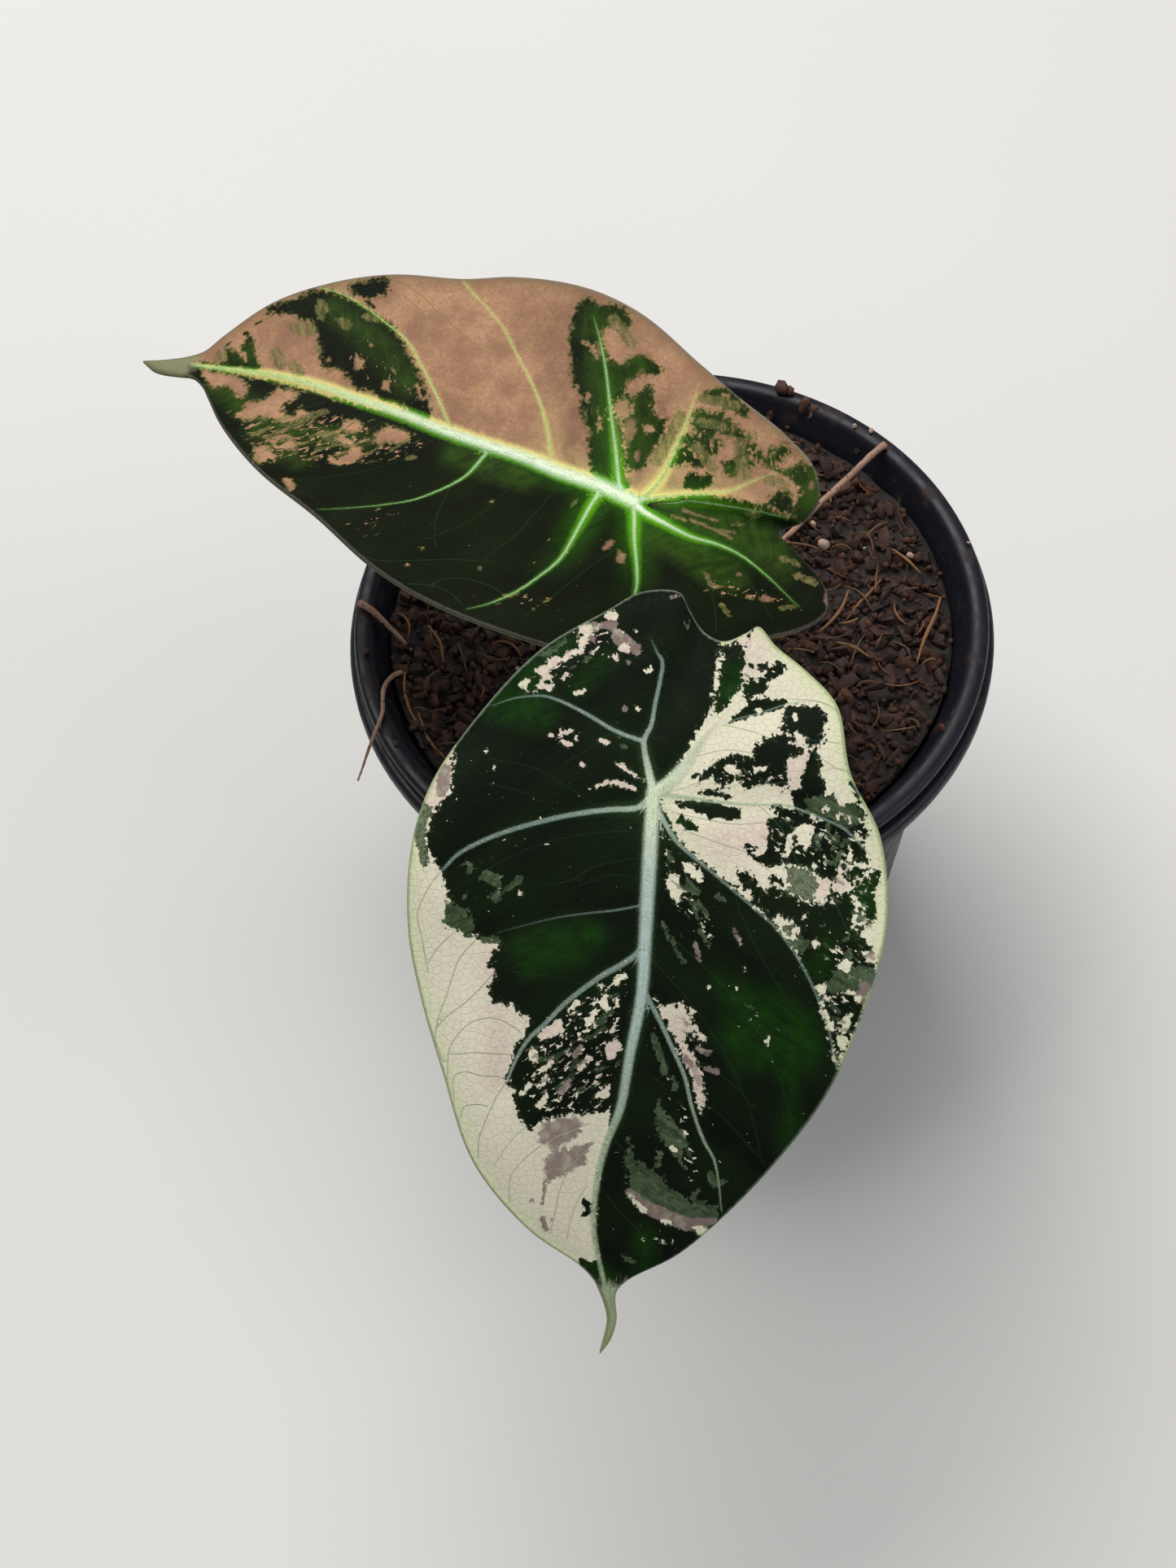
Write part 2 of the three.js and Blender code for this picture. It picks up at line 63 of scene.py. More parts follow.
class Finish:
    """A material whose nodes are laid one after another, ending in its Principled skin.
    Where a value is text, it is a colour as painters write it, #rrggbb."""

    def __init__(self, name, **fixed):
        self.material = bpy.data.materials.new(name)
        self.material.use_nodes = True
        self.tree = self.material.node_tree
        self.skin = self.tree.nodes["Principled BSDF"]
        for socket, value in fixed.items():
            self.skin.inputs[socket.replace("_", " ")].default_value = value

    def set(self, socket, value):
        if isinstance(value, str):
            value = colour(value)
        if isinstance(value, bpy.types.NodeSocket):
            self.tree.links.new(value, socket)
        elif value is not None:
            socket.default_value = value

    def node(self, kind, inputs, **settings):
        made = self.tree.nodes.new("ShaderNode" + kind)
        for key, value in settings.items():
            setattr(made, key, value)
        for key, value in inputs.items():
            self.set(made.inputs[key], value)
        return made

    def place(self, stretch=(1, 1, 1)):
        spot = self.node("TexCoord", {}).outputs["Object"]
        return self.stretched(spot, stretch)

    def stretched(self, place, stretch, turn=0.0):
        inputs = {"Vector": place, "Scale": stretch, "Rotation": (0, 0, turn)}
        return self.node("Mapping", inputs).outputs[0]

    def kept(self, name):
        return self.node("Attribute", {}, attribute_name=name).outputs["Vector"]

    def parts(self, vector):
        return self.node("SeparateXYZ", {0: vector}).outputs

    def noise(self, place, size, detail=3.0, bend=0.0, rough=0.5):
        inputs = {
            "Vector": place, "Scale": 1 / size, "Detail": detail, "Distortion": bend,
            "Roughness": rough}
        return self.node("TexNoise", inputs).outputs[0]

    def cells(self, place, size, feature="F1", output="Distance", flat="3D"):
        inputs = {"Vector": place, "Scale": 1 / size}
        made = self.node("TexVoronoi", inputs, feature=feature, voronoi_dimensions=flat)
        return made.outputs[output]

    def sum(self, *values):
        whole = values[0]
        for value in values[1:]:
            whole = self.math("ADD", whole, value)
        return whole

    def math(self, operation, first, second=None, third=None):
        inputs = {0: first, 1: second, 2: third}
        return self.node("Math", inputs, operation=operation).outputs[0]

    def times(self, *values):
        whole = values[0]
        for value in values[1:]:
            whole = self.math("MULTIPLY", whole, value)
        return whole

    def ramp(self, value, low, high, start=0.0, end=1.0):
        inputs = {0: value, 1: low, 2: high, 3: start, 4: end}
        made = self.node("MapRange", inputs, interpolation_type="SMOOTHSTEP")
        return made.outputs[0]

    def mix(self, share, first, second):
        inputs = {0: share, 6: first, 7: second}
        return self.node("Mix", inputs, data_type="RGBA").outputs[2]

    def bump(self, height, depth, strength):
        inputs = {"Height": height, "Distance": depth * MM, "Strength": strength}
        return self.node("Bump", inputs).outputs[0]

    def done(self, tone, roughness=None, normal=None):
        self.set(self.skin.inputs["Base Color"], tone)
        self.set(self.skin.inputs["Roughness"], roughness)
        self.set(self.skin.inputs["Normal"], normal)
        return self.material


def colour(code):
    """A painter's #rrggbb in the renderer's own numbers."""
    parts = [int(code[i:i + 2], 16) / 255 for i in (1, 3, 5)]
    return (*[p / 12.92 if p < 0.04045 else ((p + 0.055) / 1.055) ** 2.4 for p in parts], 1)


def eased(points, reach=0.55, steps=3, most=0.45):
    """A profile with each of its corners turned into a small round, which takes at most so
    large a share of the sides next to it."""
    line = [Vector(points[0])]
    for before, corner, after in zip(points, points[1:], points[2:]):
        before, corner, after = Vector(before), Vector(corner), Vector(after)
        start = corner + (before - corner) * min(most, reach / (before - corner).length)
        end = corner + (after - corner) * min(most, reach / (after - corner).length)
        for i in range(steps + 1):
            share = i / steps
            line.append(start.lerp(corner, share).lerp(corner.lerp(end, share), share))
    return line + [Vector(points[-1])]


def turned(profile, turns):
    """A closed body turned round Z from a profile of (radius, height)."""
    bm = bmesh.new()
    verts = [bm.verts.new((p[0] * MM, 0, p[1] * MM)) for p in profile]
    edges = [bm.edges.new(pair) for pair in zip(verts, verts[1:])]
    bmesh.ops.spin(
        bm, geom=verts + edges, axis=(0, 0, 1), cent=(0, 0, 0), angle=2 * math.pi,
        steps=turns, use_merge=True, use_duplicate=False)
    bmesh.ops.remove_doubles(bm, verts=bm.verts, dist=WELD)
    bmesh.ops.recalc_face_normals(bm, faces=bm.faces)
    return bm


def piece(name, shape, finish, slot, *nodes):
    """A finished mesh as a piece of the plant, standing for the solids named."""
    if isinstance(shape, bmesh.types.BMesh):
        mesh = bpy.data.meshes.new(name)
        shape.to_mesh(mesh)
        shape.free()
    else:
        mesh = shape
    mesh.polygons.foreach_set("use_smooth", [True] * len(mesh.polygons))
    mesh.materials.append(finish)
    made = bpy.data.objects.new(name, mesh)
    bpy.context.scene.collection.objects.link(made)
    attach(made, "root")
    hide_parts(*nodes)
    return made


def drilled(bm, ring, radius, count, start):
    """The body with upright holes through its bottom, spread round a ring."""
    body = bpy.data.meshes.new("drilled")
    bm.to_mesh(body)
    bm.free()
    cutter = bmesh.new()
    for i in range(count):
        turn = start + i * 2 * math.pi / count
        spot = Matrix.Translation((ring * math.cos(turn) * MM, ring * math.sin(turn) * MM, 0))
        bmesh.ops.create_cone(
            cutter, cap_ends=True, segments=DRILL_SIDES, radius1=radius * MM,
            radius2=radius * MM, depth=DRILL_LENGTH * MM, matrix=spot)
    tool_mesh = bpy.data.meshes.new("drill")
    cutter.to_mesh(tool_mesh)
    cutter.free()
    work = bpy.data.objects.new("drilled", body)
    tool = bpy.data.objects.new("drill", tool_mesh)
    for thing in (work, tool):
        bpy.context.scene.collection.objects.link(thing)
    cut = work.modifiers.new("holes", "BOOLEAN")
    cut.object = tool
    cut.operation = "DIFFERENCE"
    cut.solver = "EXACT"
    bpy.context.view_layer.update()
    now = bpy.context.evaluated_depsgraph_get()
    whole = bpy.data.meshes.new_from_object(work.evaluated_get(now))
    for thing in (work, tool):
        bpy.data.objects.remove(thing)
    result = bmesh.new()
    result.from_mesh(whole)
    return result


def black_polypropylene():
    """Moulded black plastic, a little blue, with dust from the mix and scuffs, partly wear and
    partly painted glints.
    """
    f = Finish("moulded_black_polypropylene", Specular_IOR_Level=0.24)
    place = f.place()
    height = f.parts(place)[2]
    dust = f.times(
        f.ramp(f.noise(place, 0.006, 5), 0.52, 0.72),
        f.ramp(height, 0.078, 0.0885, 0.05, 0.75))
    # Pale bluish scuffs all over: partly handling wear, partly painted glints of light.
    scuff_and_glint = f.ramp(f.noise(f.place((1, 1, 9)), 0.004, 6, 0.4), 0.66, 0.72)
    grain = f.noise(place, 0.0004, 2)
    tone = f.mix(f.noise(place, 0.02, 3), "#0f0f16", "#171721")
    tone = f.mix(f.times(scuff_and_glint, 0.35), tone, "#4a4a55")
    tone = f.mix(f.times(dust, 0.4), tone, "#4a3324")
    rough = f.sum(f.ramp(f.noise(place, 0.003, 4), 0.3, 0.7, 0.34, 0.5), f.times(dust, 0.25))
    return f.done(tone, rough, f.bump(grain, 0.05, 0.35))


pot = turned(eased(POT_PROFILE), POT_TURNS)
pot = drilled(pot, NOTCH_RING, NOTCH_RADIUS, NOTCHES, math.pi / NOTCHES)
pot = drilled(pot, DRAIN_RING, DRAIN_RADIUS, DRAINS, 0)
piece("pot_shell", pot, black_polypropylene(), "pot_plastic", "nursery_pot")


# Rhizome
# The plant's short upright stem, ringed by the scars of old leaves. It stands in the mix on
# six anchoring roots, and papery remains of leaf sheaths still cling to it.
RHIZOME_PROFILE = [
    (0, 62), (4.2, 62), (7.2, 66), (8.5, 74), (8.5, 87), (8.4, 88.2), (7.9, 89), (8.1, 89.9),
    (8.6, 90.7), (7.9, 91.7), (8.1, 92.6), (8.4, 93.3), (7.6, 94.3), (7.7, 95), (7.2, 96),
    (5.6, 97), (2, 97.6), (0, 97.4),
]
RHIZOME_TURNS = 64
ANCHOR_ROOTS = 6
ANCHOR_FALLS = (16, 26)
ANCHOR_HEIGHT = 68
ANCHOR_RADII = [1.5, 0.75]
# Old sheaths: which way each looks, how far out it stands, and how high it reaches.
SHEATH_REMAINS = [(0.6, 9.0, 5.0), (2.5, 8.8, 6.5), (4.4, 9.0, 5.5)]
SHEATH_FOOT = 89
SHEATH_THICKNESS = 0.35
LINE_STEPS = 24
SEAM = 1e-7


def smooth_line(points, closed=False, pieces=LINE_STEPS):
    """The smooth curve through the points, in so many steps from each to the next."""
    p = np.array(points, float)
    if closed:
        p = np.vstack([p[-1:], p, p[:2]])
    else:
        p = np.vstack([2 * p[0] - p[1], p, 2 * p[-1] - p[-2]])
    knots = np.concatenate([[0], np.cumsum(np.linalg.norm(np.diff(p, axis=0), axis=1) ** 0.5)])
    runs = []
    for k in range(1, len(p) - 2):
        k0, k1, k2, k3 = knots[k - 1:k + 3]
        t = np.linspace(k1, k2, pieces, endpoint=False)[:, None]
        a1 = ((k1 - t) * p[k - 1] + (t - k0) * p[k]) / (k1 - k0)
        a2 = ((k2 - t) * p[k] + (t - k1) * p[k + 1]) / (k2 - k1)
        a3 = ((k3 - t) * p[k + 1] + (t - k2) * p[k + 2]) / (k3 - k2)
        b1 = ((k2 - t) * a1 + (t - k0) * a2) / (k2 - k0)
        b2 = ((k3 - t) * a2 + (t - k1) * a3) / (k3 - k1)
        runs.append(((k2 - t) * b1 + (t - k1) * b2) / (k2 - k1))
    return np.vstack([*runs, p[-2:-1]])


def evenly(line, steps):
    """The same line in equal steps."""
    way = np.concatenate([[0], np.cumsum(np.linalg.norm(np.diff(line, axis=0), axis=1))])
    at = np.linspace(0, way[-1], steps + 1)
    return np.stack([np.interp(at, way, line[:, i]) for i in range(line.shape[1])], 1)


def stem(bm, path, radius, sides, form=None):
    """A grown stem along a path, closed at both ends. The form swells it: f(turn, share)."""
    path = np.array(path, float)
    steps = len(path) - 1
    radius = np.interp(np.linspace(0, 1, steps + 1), np.linspace(0, 1, len(radius)), radius)
    ways = np.gradient(path, axis=0)
    ways /= np.linalg.norm(ways, axis=1)[:, None]
    side = np.cross(ways[0], (0.3, 0.5, 0.81))
    made = bmesh.ops.create_grid(bm, x_segments=sides, y_segments=steps + 2, size=1)["verts"]
    ring = {}
    for vert in made:
        column = round((vert.co.x + 1) / 2 * sides)
        ring.setdefault(round((vert.co.y + 1) / 2 * (steps + 2)), []).append((column, vert))
    for row in range(steps + 3):
        i = min(max(row - 1, 0), steps)
        side = side - ways[i] * side.dot(ways[i])
        side /= np.linalg.norm(side)
        up = np.cross(ways[i], side)
        for column, vert in ring[row]:
            turn = column % sides * 2 * math.pi / sides
            r = 0 if row in (0, steps + 2) else radius[i]
            if form and r:
                r *= form(turn, i / steps)
            spot = path[i] + r * (math.cos(turn) * side + math.sin(turn) * up)
            vert.co = spot * MM
    return made


def grown(bm):
    """Stems with their seams and ends closed and their skin turned outwards."""
    bmesh.ops.remove_doubles(bm, verts=bm.verts, dist=SEAM)
    bmesh.ops.recalc_face_normals(bm, faces=bm.faces)
    return bm


def roughened(bm, size, depth):
    """Pushes a body's skin in and out, in lumps of a size."""
    bm.normal_update()
    for vert in bm.verts:
        push = noise.fractal(vert.co / (size * MM), 1.0, 2.0, 3)
        vert.co += vert.normal * push * depth * MM


def rhizome_skin():
    """Green-brown stem skin with dry papery rings."""
    f = Finish("ringed_rhizome_skin", Roughness=0.6)
    place = f.place()
    ring = f.noise(f.place((1, 1, 6)), 0.006, 4, 0.3)
    tone = f.mix(ring, "#4d4a2c", "#7c7046")
    tone = f.mix(f.ramp(f.noise(place, 0.0025, 5), 0.5, 0.68), tone, "#3a2717")
    tone = f.mix(f.ramp(f.parts(place)[2], 0.094, 0.098), tone, "#8b9a5e")
    height = f.sum(f.noise(place, 0.0008, 4), f.times(ring, 0.8))
    return f.done(tone, f.ramp(ring, 0.3, 0.7, 0.5, 0.75), f.bump(height, 0.25, 0.6))


rhizome = turned(eased(RHIZOME_PROFILE, 0.4, 2), RHIZOME_TURNS)
roughened(rhizome, 6, 0.35)
for index in range(ANCHOR_ROOTS):
    fall = ANCHOR_FALLS[index % 2]
    turn = index * 2 * math.pi / ANCHOR_ROOTS + 0.4
    start = ANCHOR_HEIGHT + 3 * (index % 3)
    reach = [(4, 0), (8, -1), (18, -6 - fall * 0.2), (30, -fall)]
    path = [
        (out * math.cos(turn + 0.12 * step), out * math.sin(turn + 0.12 * step), start + down)
        for step, (out, down) in enumerate(reach)]
    stem(rhizome, evenly(smooth_line(path), 16), ANCHOR_RADII, 8)
for turn, reach, rise in SHEATH_REMAINS:
    scale = bmesh.ops.create_grid(rhizome, x_segments=10, y_segments=8, size=1)["verts"]
    for vert in scale:
        across, up = vert.co.x, (vert.co.y + 1) / 2
        width = 0.75 * (1 - up ** 1.5) + 0.06
        out = reach - 0.6 + 1.6 * up ** 2 + 0.4 * across ** 2
        angle = turn + across * width
        vert.co = Vector((
            out * math.cos(angle), out * math.sin(angle),
            SHEATH_FOOT + rise * up + 0.4 * math.sin(5 * across))) * MM
    bmesh.ops.solidify(
        rhizome, geom=list({face for vert in scale for face in vert.link_faces}),
        thickness=SHEATH_THICKNESS * MM)
piece("stem_base", grown(rhizome), rhizome_skin(), "rhizome_skin", "rhizome")


# Potting mix
# Chopped coconut husk, dark reddish brown and damp: a settled bed, loose chips and crumbs on
# it, pale husk fibres, and a few light grains. Some crumbs were left on the pot's lip, and
# three pale specks on it are painted glints.
BED_FOOT, BED_FOOT_RADIUS = 3.1, 41.4
BED_WALL_RADIUS = 51.9
# The bed's top as it is turned, and the height round which its lumps are then raised.
BED_FLAT, BED_TOP = 88.6, 88.4
BED_REACH = 53.3
BED_RINGS = 46
BED_TURNS = 150
# Near the wall the mix climbs: how high, from what radius, and over what width.
BANK, BANK_START, BANK_WIDTH = 1.5, 47, 6
# The pot's inner wall: its radius at a height, and how much wider it is each millimetre up.
WALL_RADIUS, WALL_HEIGHT, WALL_SLOPE = 52.1, 86.5, 0.47
LIP_HEIGHT = 94
STEM_CLEARANCE = 9.5
CHIPS, CHIP_REACH = 900, 52.4
CRUMBS, CRUMB_REACH = 2900, 52.9
FIBRES, FIBRE_REACH = 210, 51.5
GRAINS, GRAIN_REACH = 12, 50
# What shows in the photograph: a long fibre at the right wall, and others by the leaves.
LONG_FIBRES = [
    [(51.6, 1.5, 91.6), (50.2, -2, 91.2), (47.5, -7, 90.4), (45.5, -12, 90)],
    [(41, 7.6, 90.6), (38.5, 4.8, 90.4), (36, 2.4, 90.2), (33.6, -0.6, 90)],
    [(34.6, 5.8, 90.4), (33, 2.2, 90.2), (30.5, -1, 90.2), (28, -3, 89.8)],
    [(31, -6, 90.2), (34, -7.6, 90.6), (37, -10, 90)],
    [(-50.8, -5.5, 91), (-51, -10, 90.8), (-49.9, -15, 90.4), (-47.6, -19, 90)],
    [(-48.6, -15, 90.6), (-46.8, -21.5, 90.6), (-43.5, -26, 90)],
    [(-46, 4.5, 91), (-44, 0.6, 91), (-43.5, -3.5, 90)],
    [(44, 14, 91.4), (46.5, 11.5, 91), (48.8, 8.6, 90.2)],
]
LIP_CRUMBS = [
    (26.3, 52.4, 96.1, 1.5), (27.9, 51.6, 95.9, 1.1), (30.6, 48.6, 95.2, 1.2),
    (32.4, 47.4, 94.6, 0.8), (24.2, 50.2, 91.6, 1.3), (41, 39, 92.4, 0.8),
    (-57.6, -3.8, 95.6, 0.7), (-52.6, -24.8, 95.4, 0.6), (47.8, -30.2, 94.8, 0.7),
]
# Three pale specks on the lip's top, made as grit: painted glints of light.
LIP_GLINT_SPECKS = [(39.6, 41.7, 95.5, 0.45), (42.7, 40.2, 95.5, 0.5), (58, 11.2, 95.4, 0.35)]


def bed_height(x, y):
    """Height of the settled mix at a place, in millimetres."""
    lumps = noise.fractal(Vector((x / 9, y / 9, 4)), 0.9, 2.0, 4)
    hollow = noise.noise(Vector((x / 22, y / 22, 9)))
    return BED_TOP + 0.75 * lumps + 0.8 * hollow


def bank(out):
    """How much higher the mix lies so far out."""
    return BANK * max(0, out - BANK_START) / BANK_WIDTH


def coco_husk(name, dark, light, damp):
    """Husk with its own shade for each chip, streaked along its fibres."""
    f = Finish(name)
    place = f.place()
    tone = f.parts(f.kept("shade"))[0]
    mottle = f.noise(place, 0.0016, 5)
    streak = f.noise(f.place((1, 1, 4)), 0.0007, 4, 0.6)
    share = f.sum(f.times(tone, 0.75), f.times(mottle, 0.35), f.times(streak, 0.2), -0.2)
    tone = f.mix(share, dark, light)
    rough = f.ramp(mottle, 0.3, 0.7, damp, 0.92)
    height = f.sum(f.noise(place, 0.0005, 4), f.times(streak, 0.7))
    return f.done(tone, rough, f.bump(height, 0.3, 0.8))


def shaded(bm, verts, value):
    """Gives a chip's points its shade, from 0 for dark to 1 for light."""
    layer = bm.verts.layers.float_vector.get("shade")
    for vert in verts:
        vert[layer] = (value, value, value)


def kept_inside(bm):
    """Holds loose mix back from the pot's inner wall."""
    for vert in bm.verts:
        out = math.hypot(vert.co.x, vert.co.y) / MM
        wall = WALL_RADIUS + WALL_SLOPE * (vert.co.z / MM - WALL_HEIGHT)
        if out > wall and vert.co.z < LIP_HEIGHT * MM:
            vert.co.x *= wall / out
            vert.co.y *= wall / out


def loose_shape():
    """An empty body whose points can carry a shade."""
    bm = bmesh.new()
    bm.verts.layers.float_vector.new("shade")
    return bm


bed_profile = [(0, BED_FOOT), (BED_FOOT_RADIUS, BED_FOOT), (BED_WALL_RADIUS, WALL_HEIGHT)]
bed_profile += [(BED_REACH * (1 - i / BED_RINGS), BED_FLAT) for i in range(BED_RINGS)]
bed = turned(bed_profile + [(0, BED_FLAT)], BED_TURNS)
shade = bed.verts.layers.float_vector.new("shade")
for vert in bed.verts:
    x, y, z = vert.co / MM
    if z > BED_FLAT - 0.6:
        fine = noise.fractal(Vector((x / 1.9, y / 1.9, 0)), 0.8, 2.0, 3)
        vert.co.z = (bed_height(x, y) + 0.7 * fine + bank(math.hypot(x, y))) * MM
        vert[shade] = (0.25 + 0.4 * fine,) * 3
piece(
    "mix_bed", bed, coco_husk("damp_husk_bed", "#0d0604", "#2a150d", 0.7), "coco_mix",
    "potting_mix")

# All chance in the mix is seeded here, so that every run gives the same mix.
draw = np.random.RandomState(11)
noise.seed_set(11)


def lying(index, count, reach, proud):
    """An even spread of places on the bed, each a little off its spot."""
    turn = index * math.pi * (3 - math.sqrt(5)) + draw.uniform(-0.05, 0.05)
    out = reach * math.sqrt((index + 0.5) / count) + draw.uniform(-0.6, 0.6)
    x, y = out * math.cos(turn), out * math.sin(turn)
    return Vector((x, y, bed_height(x, y) + bank(out) + proud))


def tumbled(steep):
    """A chance turn about every axis, leaning no steeper than so much."""
    return (
        Matrix.Rotation(draw.uniform(0, 2 * math.pi), 4, "Z")
        @ Matrix.Rotation(draw.uniform(-steep, steep), 4, "Y")
        @ Matrix.Rotation(draw.uniform(0, math.pi), 4, "X"))


chips = loose_shape()
for index in range(CHIPS):
    spot = lying(index, CHIPS, CHIP_REACH, draw.uniform(-0.3, 0.9))
    if math.hypot(spot.x, spot.y) < STEM_CLEARANCE:
        continue
    size = Vector((draw.uniform(1.5, 4.4), draw.uniform(1.1, 2.6), draw.uniform(0.8, 1.7)))
    shape = Matrix.Translation(spot * MM) @ tumbled(0.7) @ Matrix.Diagonal((*size * MM, 1))
    made = bmesh.ops.create_cube(chips, size=1, matrix=shape)["verts"]
    shaded(chips, made, draw.beta(1.3, 3.0))
    for vert in made:
        vert.co += Vector(draw.uniform(-0.45, 0.45, 3)) * MM
bmesh.ops.bevel(
    chips, geom=chips.edges[:], offset=0.3 * MM, segments=1, profile=0.5, affect="EDGES",
    material=-1, clamp_overlap=True)
for vert in chips.verts:
    vert.co += noise.noise_vector(vert.co / (0.9 * MM)) * 0.5 * MM
kept_inside(chips)
piece(
    "mix_chips", chips, coco_husk("coconut_husk_chips", "#120804", "#57301c", 0.6),
    "coco_mix", "potting_mix")

crumbs = loose_shape()
crumb_spots = [
    (*lying(i, CRUMBS, CRUMB_REACH, draw.uniform(0, 1.3)), 0.3 + 0.8 * draw.beta(1.4, 2.4))
    for i in range(CRUMBS)]
for x, y, z, radius in crumb_spots + LIP_CRUMBS:
    lean = Matrix.Diagonal((draw.uniform(0.7, 1.7), draw.uniform(0.7, 1.2), 0.8, 1))
    shape = Matrix.Translation(Vector((x, y, z)) * MM) @ tumbled(1.2) @ lean
    made = bmesh.ops.create_icosphere(crumbs, subdivisions=1, radius=radius * MM, matrix=shape)
    shaded(crumbs, made["verts"], draw.beta(1.6, 2.2) + (0.5 if z > LIP_HEIGHT else 0))
for vert in crumbs.verts:
    vert.co += noise.noise_vector(vert.co / (0.6 * MM)) * 0.3 * MM
kept_inside(crumbs)
piece(
    "mix_crumbs", crumbs, coco_husk("coconut_husk_crumbs", "#100703", "#5a311b", 0.65),
    "coco_mix", "potting_mix")

fibres = loose_shape()
for index in range(FIBRES):
    spot = lying(index, FIBRES, FIBRE_REACH, 1.0)
    turn, length = draw.uniform(0, 2 * math.pi), draw.uniform(3, 9)
    bow, rise = draw.uniform(-0.9, 0.9), draw.uniform(-0.6, 1.4)
    path = []
    for step in range(6):
        share = step / 5 - 0.5
        angle = turn + bow * share
        x = spot.x + length * share * math.cos(angle)
        y = spot.y + length * share * math.sin(angle)
        path.append((x, y, spot.z + 0.5 + rise * (0.25 - share ** 2) * 4 * 0.6))
    thick = draw.uniform(0.1, 0.26)
    made = stem(fibres, path, [thick, thick * 1.15, thick * 0.5], 5)
    shaded(fibres, made, draw.uniform(0.1, 0.8))
for path in LONG_FIBRES:
    thick = draw.uniform(0.32, 0.5)
    made = stem(fibres, evenly(smooth_line(path), 14), [thick * 0.5, thick, thick * 0.4], 8)
    shaded(fibres, made, draw.uniform(0.6, 0.95))
kept_inside(fibres)
piece(
    "mix_fibres", grown(fibres), coco_husk("coconut_husk_fibre", "#2e190e", "#94683f", 0.6),
    "coco_mix", "potting_mix")


def pale_grit_and_glints():
    """Light mineral grains, dusty and chalky; the same finish colours the pale specks painted as
    glints on the lip.
    """
    f = Finish("pale_grit_and_glints", Roughness=0.8)
    place = f.place()
    tone = f.mix(f.noise(place, 0.0008, 4), "#7f6a58", "#bda694")
    return f.done(tone, None, f.bump(f.noise(place, 0.0003, 3), 0.15, 0.6))


grit_and_glint_specks = bmesh.new()
grain_spots = [(31, 16.7, 91, 1.15), (47.2, 12.5, 91, 0.7), (29.6, 22.4, 90.4, 0.6)]
grain_spots += [
    (*lying(i, GRAINS, GRAIN_REACH, 0.9), draw.uniform(0.25, 0.6)) for i in range(GRAINS)]
# The grains in the mix, then the pale specks that are painted glints on the lip.
for x, y, z, radius in grain_spots + LIP_GLINT_SPECKS:
    lean = Matrix.Diagonal((1.2, draw.uniform(0.8, 1.1), 0.8, 1))
    shape = Matrix.Translation(Vector((x, y, z)) * MM) @ tumbled(1) @ lean
    bmesh.ops.create_icosphere(grit_and_glint_specks, subdivisions=2, radius=radius * MM, matrix=shape)
for vert in grit_and_glint_specks.verts:
    vert.co += noise.noise_vector(vert.co / (0.5 * MM)) * 0.12 * MM
piece("mix_grit_and_glints", grit_and_glint_specks, pale_grit_and_glints(), "coco_mix", "potting_mix")


